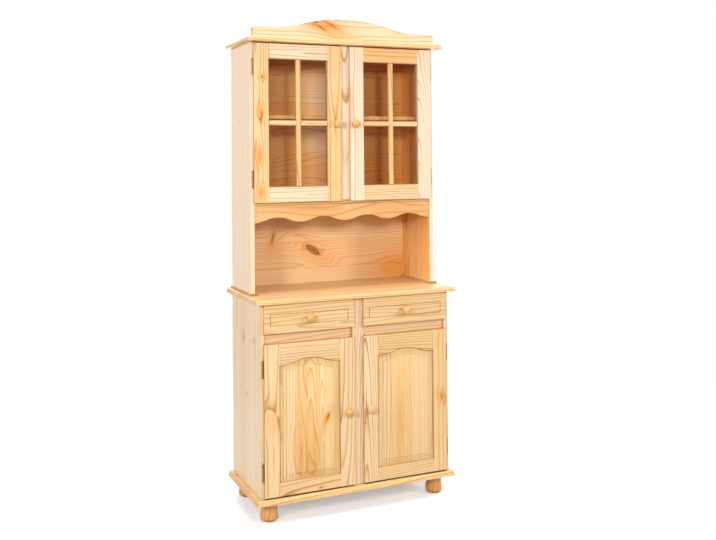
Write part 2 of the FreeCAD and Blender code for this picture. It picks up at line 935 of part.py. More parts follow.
def drawer_runners():
    left, right, back, bottom = drawer_planes()
    low = rail_top - runner_thickness
    middle = box(divider_thickness / 2, left + runner_ledge, rail_back, back_rail_front, low,
                 rail_top)
    guide = box(divider_thickness / 2, left - guide_gap, rail_back, back_rail_front, rail_top,
                rail_top + guide_height)
    outer = box(right - runner_ledge, inner_half, rail_back, back_rail_front, low, rail_top)
    return both_sides([middle, guide, outer])


def shelf(front, z0):
    reach = inner_half - shelf_end_clearance
    return box(-reach, reach, front, back_face, z0, z0 + shelf_thickness)


def cleat(front, z1):
    return box(inner_half - cleat_size, inner_half, front + cleat_setback, back_face,
               z1 - cleat_size, z1)


def shelf_cleats():
    return both_sides([cleat(base_front + base_shelf_setback, base_shelf_bottom),
                       cleat(hutch_front + hutch_shelf_setback, hutch_shelf_bottom)])


# Hutch

def foot_strip():
    half = side_thickness / 2 + strip_side_ledge
    length = hutch_depth + strip_front_ledge
    front = hutch_front - strip_front_ledge

    def across(distance, z):
        return FreeCAD.Vector(distance, front, z)

    def lengthwise(distance, z):
        return FreeCAD.Vector(-half, back_plane - distance, z)

    step = strip_height - strip_flat - strip_round
    across_edges = moulded_edges(across, -half, half, counter_top, strip_height, strip_flat, step,
                                 strip_round)
    front_edges = moulded_edges(lengthwise, 0, length, counter_top, strip_height, strip_flat, step,
                                strip_round)
    bar = solid_from(across_edges, along_y * length)
    strip = bar.common(mirrored(bar)).common(solid_from(front_edges, along_x * (2 * half)))
    strip.translate(along_x * (half_width - side_thickness / 2))
    return without(strip, strip_dowels(peg_clearance))


def hutch_side():
    panel = box(inner_half, half_width, hutch_front, back_plane, hutch_side_bottom,
                top_board_underside)
    rebate = box(inner_half, inner_half + back_rebate, back_face, back_plane, hutch_side_bottom,
                 top_board_underside)
    cutters = [rebate] + strip_dowels(peg_clearance) + top_board_dowels(peg_clearance)
    for z_middle in upper_door().hinges:
        cutters.append(side_leaf(hutch_front, z_middle))
        cutters += side_screws(hutch_front, z_middle, peg_clearance)
    return without(panel, cutters)


def hutch_backs():
    reach = inner_half + back_rebate
    joint = hutch_floor_underside + hutch_bottom_thickness / 2
    niche_back = box(-reach, reach, back_face, back_plane, counter_top, joint - back_joint_gap)
    return [without(niche_back, both_sides([foot_strip()])),
            box(-reach, reach, back_face, back_plane, joint, top_board_underside)]


def hutch_bottom():
    return box(-inner_half, inner_half, hutch_front, back_face, hutch_floor_underside, hutch_floor)


def apron():
    low = hutch_floor_underside - apron_height
    high = low + apron_wave_rise
    y = hutch_front + apron_recess
    half_wave = inner_half / apron_wave_count
    edges = []
    for wave in range(apron_wave_count):
        x = -inner_half + 2 * half_wave * wave
        edges += ogee(x, low, x + half_wave, high, arch_hollow_share, y)
        edges += ogee(x + half_wave, high, x + 2 * half_wave, low, arch_hollow_share, y)
    corners = [FreeCAD.Vector(inner_half, y, low),
               FreeCAD.Vector(inner_half, y, hutch_floor_underside),
               FreeCAD.Vector(-inner_half, y, hutch_floor_underside),
               FreeCAD.Vector(-inner_half, y, low)]
    edges += [line(a, b) for a, b in zip(corners, corners[1:])]
    return solid_from(edges, along_y * apron_thickness)


def hutch_stile():
    half = hutch_stile_width / 2
    return box(-half, half, hutch_front, hutch_front + stile_thickness, hutch_floor,
               top_board_underside)


def top_board():
    board = moulded_board(half_width + top_board_side_overhang,
                          hutch_front - top_board_front_overhang, top_board_underside,
                          top_board_thickness, mould_flat, mould_step, mould_riser)
    return without(board, top_board_dowels(peg_clearance) + crest_dowels(peg_clearance))


def crest_board():
    y = hutch_front - top_board_front_overhang + crest_front_setback
    shoulder = top_board_top + crest_shoulder_height
    peak = shoulder + crest_rise
    rise_start = crest_half_length - crest_shoulder_length
    corner = crest_half_length - crest_corner_radius
    diagonal = crest_corner_radius * math.sqrt(0.5)
    right = [line(FreeCAD.Vector(0, y, top_board_top),
                  FreeCAD.Vector(crest_half_length, y, top_board_top)),
             line(FreeCAD.Vector(crest_half_length, y, top_board_top),
                  FreeCAD.Vector(crest_half_length, y, shoulder - crest_corner_radius)),
             arc(FreeCAD.Vector(crest_half_length, y, shoulder - crest_corner_radius),
                 FreeCAD.Vector(corner + diagonal, y, shoulder - crest_corner_radius + diagonal),
                 FreeCAD.Vector(corner, y, shoulder)),
             line(FreeCAD.Vector(corner, y, shoulder), FreeCAD.Vector(rise_start, y, shoulder))]
    right += ogee(rise_start, shoulder, 0, peak, crest_hollow_share, y)
    right.append(line(FreeCAD.Vector(0, y, peak), FreeCAD.Vector(0, y, top_board_top)))
    half = solid_from(right, along_y * crest_thickness)
    return without(fused([half, mirrored(half)]), crest_dowels(peg_clearance))


# Hinges, catches and pegs that stay with the carcass

def carcass_hinges():
    solids = []
    for front, door in ((base_front, lower_door()), (hutch_front, upper_door())):
        for z_middle in door.hinges:
            solids += [side_leaf(front, z_middle), hinge_pin(front, z_middle)]
            solids += side_screws(front, z_middle, 0)
    return both_sides(solids)


def door_catches():
    return both_sides([lower_door().catch(rail_bottom), upper_door().catch(top_board_underside)])


def carcass_pegs():
    return (foot_bolts(0) + base_board_dowels(0) + counter_dowels(0) + strip_dowels(0)
            + top_board_dowels(0) + crest_dowels(0))


def save_pair(name, pieces):
    for piece, solids in pieces.items():
        save(name + "_right_" + piece, solids)
        save(name + "_left_" + piece, [mirrored(solid) for solid in solids])


def save_base():
    for place, (x, y) in foot_places().items():
        save("foot_" + place, [foot(x, y)])
    side = base_side()
    save("base_board", [base_board()])
    save("base_side_right", [side])
    save("base_side_left", [mirrored(side)])
    save("base_back", [base_back()])
    save("base_stile", [base_stile()])
    save("drawer_rails", drawer_rails())
    save("drawer_divider", [drawer_divider()])
    save("drawer_runners", drawer_runners())
    save("base_shelf", [shelf(base_front + base_shelf_setback, base_shelf_bottom)])
    save("counter_top", [counter_board()])


def save_hutch():
    side = hutch_side()
    save("hutch_foot_strips", both_sides([foot_strip()]))
    save("hutch_side_right", [side])
    save("hutch_side_left", [mirrored(side)])
    save("hutch_back", hutch_backs())
    save("hutch_bottom", [hutch_bottom()])
    save("apron", [apron()])
    save("hutch_stile", [hutch_stile()])
    save("hutch_shelf", [shelf(hutch_front + hutch_shelf_setback, hutch_shelf_bottom)])
    save("top_board", [top_board()])
    save("crest_board", [crest_board()])


save_base()
save_hutch()
save("shelf_cleats", shelf_cleats())
save("carcass_hinges", carcass_hinges())
save("door_catches", door_catches())
save("carcass_pegs", carcass_pegs())
save_pair("drawer", drawer_pieces())
save_pair("lower_door", lower_door_pieces())
save_pair("upper_door", upper_door_pieces())
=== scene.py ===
"""Dresses the pine dresser: eased boards with pine grain, glass, brass and a plain stage."""

import json
import math

import bmesh
import bpy
from mathutils import Matrix, Vector

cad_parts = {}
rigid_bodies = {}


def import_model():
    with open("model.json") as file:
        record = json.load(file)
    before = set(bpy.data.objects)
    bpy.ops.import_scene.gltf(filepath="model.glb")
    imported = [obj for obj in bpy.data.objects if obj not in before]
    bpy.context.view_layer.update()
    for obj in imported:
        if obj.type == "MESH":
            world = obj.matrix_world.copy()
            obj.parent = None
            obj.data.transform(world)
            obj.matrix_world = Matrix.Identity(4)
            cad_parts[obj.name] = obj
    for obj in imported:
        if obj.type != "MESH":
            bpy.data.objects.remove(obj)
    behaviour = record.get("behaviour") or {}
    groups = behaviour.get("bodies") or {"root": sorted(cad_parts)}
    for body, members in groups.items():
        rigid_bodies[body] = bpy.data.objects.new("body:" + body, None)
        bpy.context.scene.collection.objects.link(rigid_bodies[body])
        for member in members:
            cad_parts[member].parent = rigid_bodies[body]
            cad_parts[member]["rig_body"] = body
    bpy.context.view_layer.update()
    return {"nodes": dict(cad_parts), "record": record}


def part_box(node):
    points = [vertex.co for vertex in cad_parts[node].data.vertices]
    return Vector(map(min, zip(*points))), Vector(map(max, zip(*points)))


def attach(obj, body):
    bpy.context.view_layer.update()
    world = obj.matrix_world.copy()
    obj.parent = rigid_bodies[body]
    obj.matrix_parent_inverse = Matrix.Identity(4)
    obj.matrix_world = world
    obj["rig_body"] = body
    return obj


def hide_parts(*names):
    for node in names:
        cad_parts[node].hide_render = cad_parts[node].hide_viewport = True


bl_info = {
    "name": "Pine dresser",
    "version": (1, 0, 0),
    "blender": (4, 5, 0),
    "location": "View3D > Sidebar > Dresser",
    "description": "Pine boards, glass and fittings of a dresser with a glazed hutch",
    "category": "Object",
}

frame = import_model()

MM = 0.001

# The photograph's frame
FRAME_WIDTH_PX = 716
FRAME_HEIGHT_PX = 540

# Mesh work on the boards
MERGE_DISTANCE = 0.01 * MM
FLAT_ANGLE = math.radians(1.5)
SMOOTH_ANGLE = math.radians(35)
EASED_ANGLE = math.radians(40)

# A groove's face is narrower than this, and lies this far behind the board's surface
CREASE_WIDTH = 3.5 * MM
CREASE_START = 0.5 * MM

# How soon a face that turns to a board's end or edge counts as one
END_TURN = 3
EDGE_TURN = 1.4

# How far a door's edge lies beyond the inner face of the side panel
DOOR_LAP = 4 * MM

# Where the stain, and the painted shade inside the hutch, change: out from the side panels' inner
# faces, up from the hutch's floor, and back to the outer face of the back
INNER_FACE = (384.2 * MM, 385 * MM)
HUTCH_FLOOR = (1192 * MM, 1198 * MM)
BACK_SURFACE = (203.5 * MM, 205.5 * MM)
# Most that stain and the painted shade inside the hutch together may darken the wood
MOST_STAIN_AND_PAINTED_SHADE = 0.92

# Grain: how fine each pattern is across and along a board
SLOW = (6, 1.3)
WAVE = (22, 5.5)
FIBRE = (900, 14)
STREAK = (95, 1.6)

# Grain: where the pith lies beside a board, and how far that differs between boards
PITH_SPREAD = 110 * MM
PITH_DEPTH = 12 * MM
PITH_DEPTH_SPREAD = 50 * MM
PITH_TILT = 0.14
WAVE_SIZE = 8 * MM
SLOW_SIZE = 30 * MM

# How far apart the patterns of two boards lie, and how fast a knot's pull falls off
LUCK_SHIFT = 17.3
HALO_FALL = -0.11

# Share of a stave that its glue line takes
GLUE_SHARE = 0.016

# Share of open air round a point below which a gap takes the full painted shade, and above which it
# takes none
GAP_AIR = (0.15, 0.55)

# Shares of the floor's radius between which it fades to white
FLOOR_FADE = (0.35, 0.95)

# Lamps: place, what they point at, width of the square and watts
LAMPS = {
    "left box": ((-2.9, -2.95, 1.95), (0, 0, 1.4), 0.6, 64),
    "right box": ((3.0, -2.7, 1.95), (0, 0, 1.3), 0.6, 58),
    "front": ((-0.9, -4.2, 2.05), (0, 0, 1.4), 0.5, 53),
    "left wall": ((-3.9, -0.9, 2.1), (0, 0, 1.3), 1.2, 56),
    "top": ((-0.2, -0.9, 5.5), (0, -0.1, 0.9), 1.8, 118),
    "right wall": ((3.8, 0.5, 2.2), (0, 0, 1.1), 1.2, 50),
    "back": ((0.9, 3.8, 2.6), (0, 0, 1.0), 3.2, 100),
}


# Settings that a user would change

class PineSettings(bpy.types.PropertyGroup):
    """Colours and grain of the pine"""

    cream: bpy.props.FloatVectorProperty(
        name="Cream", description="Palest boards between the rings", subtype="COLOR",
        default=(0.90, 0.70, 0.44), min=0, max=1)
    straw: bpy.props.FloatVectorProperty(
        name="Straw", description="Most boards between the rings", subtype="COLOR",
        default=(0.88, 0.61, 0.29), min=0, max=1)
    tan: bpy.props.FloatVectorProperty(
        name="Tan", description="Darkest boards between the rings", subtype="COLOR",
        default=(0.80, 0.50, 0.19), min=0, max=1)
    ring: bpy.props.FloatVectorProperty(
        name="Late wood", description="Orange wood of a broad ring", subtype="COLOR",
        default=(0.70, 0.36, 0.09), min=0, max=1)
    line: bpy.props.FloatVectorProperty(
        name="Ring edge", description="Brown line where a ring ends", subtype="COLOR",
        default=(0.46, 0.22, 0.06), min=0, max=1)
    pallid: bpy.props.FloatVectorProperty(
        name="Pallid", description="Pinkish pale wood of some boards", subtype="COLOR",
        default=(0.94, 0.75, 0.57), min=0, max=1)
    # Amber: a stain near knots and on some boards; inside the hutch it also gives the darker amber
    # that is partly painted shade
    amber: bpy.props.FloatVectorProperty(
        name="Amber", description="Stain near knots and inside the hutch", subtype="COLOR",
        default=(0.88, 0.52, 0.16), min=0, max=1)
    flame: bpy.props.FloatVectorProperty(
        name="Flame", description="Orange wood of a knot", subtype="COLOR",
        default=(0.66, 0.25, 0.03), min=0, max=1)
    knot: bpy.props.FloatVectorProperty(
        name="Knot", description="Dark bark of a knot", subtype="COLOR",
        default=(0.12, 0.035, 0.01), min=0, max=1)
    end_grain: bpy.props.FloatVectorProperty(
        name="End grain", description="Darkening of sawn ends and edges", subtype="COLOR",
        default=(0.70, 0.44, 0.18), min=0, max=1)
    # Crease: the colour of the painted shade in grooves, in narrow gaps and on board edges
    crease: bpy.props.FloatVectorProperty(
        name="Crease", description="Darkening in grooves and gaps and on board edges",
        subtype="COLOR", default=(0.30, 0.16, 0.05), min=0, max=1)
    # Gap reach: how near another piece darkens the gap with painted shade
    gap_reach: bpy.props.FloatProperty(
        name="Gap reach", description="How near another piece darkens the gap before it",
        unit="LENGTH", default=18 * MM, min=0)
    ring_spacing: bpy.props.FloatProperty(
        name="Ring spacing", description="Distance from one ring to the next", unit="LENGTH",
        default=9 * MM, min=1 * MM)
    ring_strength: bpy.props.FloatProperty(
        name="Ring strength", description="How much the late wood darkens a ring",
        default=0.8, min=0, max=1)
    easing: bpy.props.FloatProperty(
        name="Edge easing", description="Width of the sanded edge of a board", unit="LENGTH",
        default=1.1 * MM, min=0.1 * MM)
    lacquer: bpy.props.FloatProperty(
        name="Lacquer", description="Weight of the clear coat", default=0.25, min=0, max=1)


class HardwareSettings(bpy.types.PropertyGroup):
    """Screw heads and panel pins"""

    screw_radius: bpy.props.FloatProperty(
        name="Screw radius", description="Radius of a screw head", unit="LENGTH",
        default=3.1 * MM, min=1 * MM)
    screw_height: bpy.props.FloatProperty(
        name="Screw height", description="How far a screw head stands proud", unit="LENGTH",
        default=0.7 * MM, min=0.1 * MM)
    slot_width: bpy.props.FloatProperty(
        name="Slot width", description="Width of a screw's cross slot", unit="LENGTH",
        default=0.7 * MM, min=0.1 * MM)
    screw_pitch: bpy.props.FloatProperty(
        name="Screw pitch", description="Distance between the two screws of a leaf",
        unit="LENGTH", default=40 * MM, min=5 * MM)
    screw_inset: bpy.props.FloatProperty(
        name="Screw inset", description="From a door's edge to its hinge screws", unit="LENGTH",
        default=17.5 * MM, min=1 * MM)
    leaf_setback: bpy.props.FloatProperty(
        name="Leaf setback", description="From a door's back to the screws of the side leaf",
        unit="LENGTH", default=6.4 * MM, min=0)
    hinge_end: bpy.props.FloatProperty(
        name="Hinge end", description="From a door's end to the middle of a hinge",
        unit="LENGTH", default=92 * MM, min=20 * MM)
    pin_radius: bpy.props.FloatProperty(
        name="Pin radius", description="Radius of a panel pin's head", unit="LENGTH",
        default=1.9 * MM, min=0.5 * MM)
    pin_height: bpy.props.FloatProperty(
        name="Pin height", description="How far a panel pin stands proud", unit="LENGTH",
        default=0.5 * MM, min=0.1 * MM)
    pin_spacing: bpy.props.FloatProperty(
        name="Pin spacing", description="Distance between panel pins", unit="LENGTH",
        default=110 * MM, min=20 * MM)
    pin_inset: bpy.props.FloatProperty(
        name="Pin inset", description="From a panel's edge to its pins", unit="LENGTH",
        default=8 * MM, min=2 * MM)


class StageSettings(bpy.types.PropertyGroup):
    """Camera, floor and lamps"""

    camera_place: bpy.props.FloatVectorProperty(
        name="Camera place", description="Where the camera stands", subtype="TRANSLATION",
        unit="LENGTH", default=(-1.4454, -3.4696, 1.3621))
    yaw: bpy.props.FloatProperty(
        name="Yaw", description="Turn of the view from straight ahead to the right",
        subtype="ANGLE", default=0.4148)
    pitch: bpy.props.FloatProperty(
        name="Pitch", description="Lift of the view", subtype="ANGLE", default=0.0274)
    roll: bpy.props.FloatProperty(
        name="Roll", description="Tilt of the camera", subtype="ANGLE", default=-0.0089)
    focal_px: bpy.props.FloatProperty(
        name="Focal length", description="In pixels of the photograph's frame", default=912.5)
    horizon_px: bpy.props.FloatProperty(
        name="Axis height", description="Row of the frame where the view axis meets it",
        default=135.3)
    floor_colour: bpy.props.FloatVectorProperty(
        name="Floor", description="Colour of the floor", subtype="COLOR",
        default=(0.84, 0.84, 0.86), min=0, max=1)
    floor_bounce: bpy.props.FloatProperty(
        name="Floor bounce", description="Share of light that the floor throws back up",
        default=0.4, min=0, max=1)
    floor_radius: bpy.props.FloatProperty(
        name="Floor radius", description="Reach of the floor from the middle", unit="LENGTH",
        default=3.0, min=1.0)
    floor_glow: bpy.props.FloatProperty(
        name="Floor glow", description="Lift of the floor towards white for the camera",
        default=0.34, min=0, max=1)


# Shader maths

class Wire:
    """A socket of a node tree; arithmetic on it adds Math nodes to a shader"""

    def __init__(self, shader, socket):
        self.shader = shader
        self.socket = socket

    def math(self, operation, *others):
        return self.shader.maths(operation, self, *others)

    def __add__(self, other):
        return self.math("ADD", other)

    def __radd__(self, other):
        return self.shader.maths("ADD", other, self)

    def __sub__(self, other):
        return self.math("SUBTRACT", other)

    def __rsub__(self, other):
        return self.shader.maths("SUBTRACT", other, self)

    def __mul__(self, other):
        return self.math("MULTIPLY", other)

    def __rmul__(self, other):
        return self.shader.maths("MULTIPLY", other, self)

    def __truediv__(self, other):
        return self.math("DIVIDE", other)

    def __pow__(self, other):
        return self.math("POWER", other)


class Graph:
    """The nodes of one tree"""

    def __init__(self, tree):
        self.tree = tree
        tree.nodes.clear()

    def node(self, kind, settings=None, sockets=None, output=0):
        made = self.tree.nodes.new(kind)
        for key, value in (settings or {}).items():
            if key == "stops":
                self.set_stops(made.color_ramp, value)
            else:
                setattr(made, key, value)
        for key, value in (sockets or {}).items():
            if isinstance(value, Wire):
                self.tree.links.new(value.socket, made.inputs[key])
            else:
                made.inputs[key].default_value = value
        return Wire(self, made.outputs[output]) if len(made.outputs) else None

    def set_stops(self, ramp, stops):
        while len(ramp.elements) < len(stops):
            ramp.elements.new(1)
        for element, (place, colour) in zip(ramp.elements, stops):
            element.position = place
            element.color = (*colour, 1)


class Shader(Graph):
    """The nodes of one material or world"""

    def __init__(self, owner):
        self.owner = owner
        owner.use_nodes = True
        super().__init__(owner.node_tree)

    def maths(self, operation, *values):
        return self.node("ShaderNodeMath", {"operation": operation}, dict(enumerate(values)))

    def clamped(self, value, low, high):
        settings = {"interpolation_type": "SMOOTHSTEP"}
        return self.node("ShaderNodeMapRange", settings, {0: value, 1: low, 2: high, 3: 0, 4: 1})

    def mixed(self, factor, first, second, blend="MIX"):
        settings = {"data_type": "RGBA", "blend_type": blend}
        return self.node("ShaderNodeMix", settings,
                         {0: factor, 6: self.colour(first), 7: self.colour(second)}, output=2)

    def colour(self, value):
        return value if isinstance(value, Wire) else (*value, 1)

    def vector(self, x, y, z):
        return self.node("ShaderNodeCombineXYZ", None, {0: x, 1: y, 2: z})

    def split(self, vector):
        made = self.node("ShaderNodeSeparateXYZ", None, {0: vector})
        return [Wire(self, socket) for socket in made.socket.node.outputs]

    def noise(self, place, scale, detail=2, roughness=0.5):
        return self.node("ShaderNodeTexNoise", None,
                         {"Vector": place, "Scale": scale, "Detail": detail,
                          "Roughness": roughness})

    def random(self, seed):
        return self.node("ShaderNodeTexWhiteNoise", {"noise_dimensions": "1D"}, {"W": seed})

    def attribute(self, name, output):
        settings = {"attribute_type": "GEOMETRY", "attribute_name": name}
        return self.node("ShaderNodeAttribute", settings, None, output)

    def surface(self, sockets):
        return self.node("ShaderNodeBsdfPrincipled", None, sockets)

    def finish(self, surface):
        self.node("ShaderNodeOutputMaterial", None, {"Surface": surface})
        return self.owner


def new_shader(name):
    """The nodes of a new material"""
    return Shader(bpy.data.materials.new(name))


# Pine: rings round a pith that lies beside the board, bent round the knots

class Knot:
    """A knot or flame, or a pale pool of painted light: its place and size in mm across and along
    the grain

    heart is how dark its middle is, glow how it warms the wood round it (below 0 it pales it:
    painted light), and bend how far the rings part round it.
    """

    def __init__(self, across, along, width, length, lean=0.0, heart=1.0, glow=0.7, bend=1.6):
        self.across = across * MM
        self.along = along * MM
        self.half_width = width / 2 * MM
        self.half_length = length / 2 * MM
        self.lean = math.radians(lean)
        self.heart = heart
        self.glow = glow
        self.bend = bend


class Cut:
    """How a kind of board is cut, its stain, and the painted light and shade it takes

    In mm: staves, how wide its glued staves are, and pith, how far aside the pith lies.
    Stains: amber and pale all over, and pallor on outer faces; a strong pallor is partly painted
    light. dusk, a darker amber inside the hutch, is partly painted shade.
    Shares: wild of small knots, ends of how dark the end grain is, and edges, grooves and gaps of
    how strong the painted shade is on board edges, in grooves and in narrow gaps.
    tone darkens the wood, and figure strengthens its rings.
    """

    def __init__(self, staves=0.0, wild=0.0, amber=0.0, pale=0.0, pallor=0.0, dusk=0.0,
                 tone=0.0, figure=1.0, edges=0.0, ends=0.8, grooves=0.75, gaps=0.95, pith=0.0):
        self.staves = staves * MM
        self.pith = pith * MM
        self.ends = ends
        self.wild = wild
        self.amber = amber
        self.pale = pale
        self.tone = tone
        self.figure = figure
        self.grooves = grooves
        self.gaps = gaps
        self.pallor = pallor
        self.dusk = dusk
        self.edges = edges


def scattered_knots(shader, across, along, luck, share):
    """Small knots scattered over a board, in a share of the cells of a grid"""
    cell_across = 110 * MM
    cell_along = 420 * MM
    shift = luck * LUCK_SHIFT
    place = shader.vector(across / cell_across + shift, along / cell_along + shift * 3, 0)
    cell = shader.node("ShaderNodeTexVoronoi", {"voronoi_dimensions": "2D"},
                       {"Vector": place, "Scale": 1, "Randomness": 0.8})
    outputs = cell.socket.node.outputs
    centre_x, centre_y, _ = shader.split(Wire(shader, outputs["Position"]))
    chance, size, _ = shader.split(Wire(shader, outputs["Color"]))
    from_knot = across - (centre_x - shift) * cell_across
    up_grain = along - (centre_y - shift * 3) * cell_along
    present = shader.maths("LESS_THAN", chance, share)
    radius = 2 * MM + size * (5 * MM)
    reach = shader.maths("SQRT", from_knot ** 2 + (up_grain / 1.5) ** 2) / radius
    return from_knot, reach, present


def placed_knot(shader, knot, across, along):
    """Distance across the grain from a knot, and how many of its own radii away a point is"""
    aside = across - knot.across
    up = along - knot.along
    wide = aside * math.cos(knot.lean) + up * math.sin(knot.lean)
    long = up * math.cos(knot.lean) - aside * math.sin(knot.lean)
    reach = shader.maths("SQRT", (wide / knot.half_width) ** 2 + (long / knot.half_length) ** 2)
    return aside, reach


def glued_staves(shader, width, across, board):
    """The way across each stave, a steady number for each, and the lines of glue"""
    row = across / width + board * 7
    stave = shader.maths("FLOOR", row)
    within = row - stave
    glue = 1 - shader.clamped(shader.maths("MINIMUM", within, 1 - within), 0, GLUE_SHARE)
    return (within - 0.5) * width, shader.random(stave + board * 31), glue


def pull_of_knots(shader, spots, board):
    """How far knots bend the grain aside, how they warm the wood, how pools of painted light pale
    it, and their hearts
    """
    bend = board * 0
    warmth_and_painted_light = board * 0
    hearts = []
    for knot, aside, reach, present in spots:
        halo = shader.maths("EXPONENT", reach * reach * HALO_FALL) * present
        bend = bend + aside * halo * knot.bend
        warmth_and_painted_light = warmth_and_painted_light + halo * knot.glow
        if knot.heart:
            hearts.append(((1 - shader.clamped(reach, 0.7, 1.1)) * present * knot.heart, reach))
    return bend, warmth_and_painted_light, hearts


def year_rings(shader, rings, board):
    """The late wood of each ring, the sharp line that ends it, and how strong the ring is"""
    ring = shader.maths("FLOOR", rings)
    phase = rings - ring
    vigour = shader.random(ring + board * 57)
    before_next = 1 - shader.clamped(phase, 0.95, 1.0)
    late = shader.clamped(phase, vigour * 0.35 + 0.35, 0.9) * before_next * (0.3 + vigour * 0.7)
    sharp = shader.clamped(phase, 0.78, 0.9) * before_next
    return late, sharp, vigour


def early_wood(shader, settings, cut, luck, lightness, streak):
    """Colour between the rings: from cream to tan, and pinkish pale on some boards"""
    stops = ((0.0, settings.cream), (0.5, settings.straw), (1.0, settings.tan))
    plank = shader.node("ShaderNodeValToRGB", {"stops": stops},
                        {"Fac": lightness + (streak - 0.5) * 1.1 + 0.15 + cut.tone})
    blush = shader.clamped(shader.maths("FRACT", luck * 5.3) + (streak - 0.5) * 0.8, 0.5, 0.9)
    return shader.mixed(blush * 0.25 * (1 - cut.pale) + cut.pale, plank, settings.pallid)


def stain_and_painted_light_and_shade(shader, settings, cut, colour, place, warmth_and_painted_light):
    """Pale outer faces of the side panels, partly painted light on the hutch sides; warm wood near
    knots; pale pools of painted light; and a darker amber inside the hutch that is partly painted
    shade
    """
    x, y, z = place
    inner = 1 - shader.clamped(shader.maths("ABSOLUTE", x), *INNER_FACE)
    high = shader.clamped(z, *HUTCH_FLOOR) * (1 - shader.clamped(y, *BACK_SURFACE))
    if cut.pallor:
        colour = shader.mixed((1 - inner) * cut.pallor, colour, settings.pallid)
    # Dusk darkens the wood inside the hutch: partly painted shade. A glow below 0 takes stain away:
    # painted light.
    warm = warmth_and_painted_light + cut.amber * (inner if cut.pallor else 1) + inner * high * cut.dusk
    warm = shader.maths("MINIMUM", warm, MOST_STAIN_AND_PAINTED_SHADE)
    return shader.mixed(warm, colour, settings.amber, "MULTIPLY")


def heart_of_knot(shader, settings, reach, slow):
    """Dark bark round a lighter, ringed middle"""
    whorl = shader.maths("SINE", reach * 9 + slow * 6) * 0.15 + 0.15
    rim = shader.clamped(reach, 0.4, 0.95)
    return shader.mixed(whorl + (1 - rim) * 0.3, settings.knot, settings.flame)


def gap_shade(shader, settings):
    """Strength of the painted shade: 1 deep in a narrow gap beside another piece and 0 in the open
    """
    open_air = shader.node("ShaderNodeAmbientOcclusion", {"samples": 8},
                           {"Distance": settings.gap_reach}, output=1)
    return 1 - shader.clamped(open_air, *GAP_AIR)


def pine(settings, name, cut, knots=(), axes=(0, 2)):
    """Lacquered pine that reads each board's own directions from its grain attribute"""
    shader = new_shader(name)
    across, depth, along = shader.split(shader.attribute("grain", 1))
    board, end, edge, crease = [shader.attribute(label, 2)
                                for label in ("board", "end", "edge", "crease")]
    place = shader.split(shader.node("ShaderNodeTexCoord", output=3))
    luck = board
    glue = board * 0
    if cut.staves:
        across, luck, glue = glued_staves(shader, cut.staves, across, board)
    second = shader.maths("FRACT", luck * 7.7)
    third = shader.maths("FRACT", luck * 13.1 + 0.31)
    shift = luck * LUCK_SHIFT

    slow = shader.noise(shader.vector(
        across * SLOW[0] + shift, depth * SLOW[0], along * SLOW[1] + shift), 1, 2)
    wave = shader.noise(shader.vector(across * WAVE[0], shift, along * WAVE[1]), 1, 2)
    fibre = shader.noise(shader.vector(
        across * FIBRE[0], depth * FIBRE[0], along * FIBRE[1]), 1, 2)
    streak = shader.noise(shader.vector(
        across * STREAK[0] + shift, depth * STREAK[0], along * STREAK[1]), 1, 3)

    spots = [(knot, *placed_knot(shader, knot, place[axes[0]], place[axes[1]]), board * 0 + 1)
             for knot in knots]
    if cut.wild:
        spots.append((Knot(0, 0, 1, 1, glow=0.4, bend=1.5),
                      *scattered_knots(shader, across, along, luck, cut.wild)))
    bend, warmth_and_painted_light, hearts = pull_of_knots(shader, spots, board)

    side = across - bend + cut.pith + (luck - 0.5) * PITH_SPREAD + (wave - 0.5) * WAVE_SIZE
    down = (depth + PITH_DEPTH + second * PITH_DEPTH_SPREAD + along * ((third - 0.5) * PITH_TILT)
            + (slow - 0.5) * SLOW_SIZE)
    rings = shader.maths("SQRT", side * side + down * down) / settings.ring_spacing
    rings = rings * (0.6 + third * 0.7) + slow * 1.2
    late, sharp, vigour = year_rings(shader, rings, board)

    lightness = second * 0.6 + (slow - 0.5) * 0.6
    colour = early_wood(shader, settings, cut, luck, lightness, streak)
    colour = shader.mixed(late * settings.ring_strength * cut.figure, colour, settings.ring)
    colour = shader.mixed(sharp * (vigour * 0.6 + 0.15) * cut.figure, colour, settings.line)
    colour = shader.mixed(fibre * 0.14, colour, settings.ring, "MULTIPLY")
    colour = stain_and_painted_light_and_shade(shader, settings, cut, colour, place, warmth_and_painted_light)
    for body, reach in hearts:
        colour = shader.mixed(body, colour, heart_of_knot(shader, settings, reach, slow))
    colour = shader.mixed(glue * 0.4, colour, settings.line, "MULTIPLY")
    colour = shader.mixed(end * cut.ends, colour, settings.end_grain, "MULTIPLY")

    # Painted shade: grooves and board edges darken by the crease colour, and also take more
    # roughness and less lacquer
    painted_groove_and_edge_shade = shader.maths("MAXIMUM", crease * cut.grooves, edge * cut.edges)
    shade = painted_groove_and_edge_shade
    # Painted shade in narrow gaps beside other pieces, by the same crease colour
    if cut.gaps:
        shade = shader.maths("MAXIMUM", painted_groove_and_edge_shade, gap_shade(shader, settings) * cut.gaps)
    colour = shader.mixed(shade, colour, settings.crease, "MULTIPLY")
    rough = 0.36 + fibre * 0.14 + end * 0.15 + painted_groove_and_edge_shade * 0.3
    height = fibre * 0.3 - late * 0.4 - glue
    bump = shader.node("ShaderNodeBump", None,
                       {"Strength": 0.2, "Distance": 0.0005, "Height": height})
    return shader.finish(shader.surface({
        "Base Color": colour, "Roughness": rough, "Normal": bump,
        "Coat Weight": (1 - painted_groove_and_edge_shade) * settings.lacquer, "Coat Roughness": 0.14, "IOR": 1.45,
        "Specular IOR Level": 0.3}))


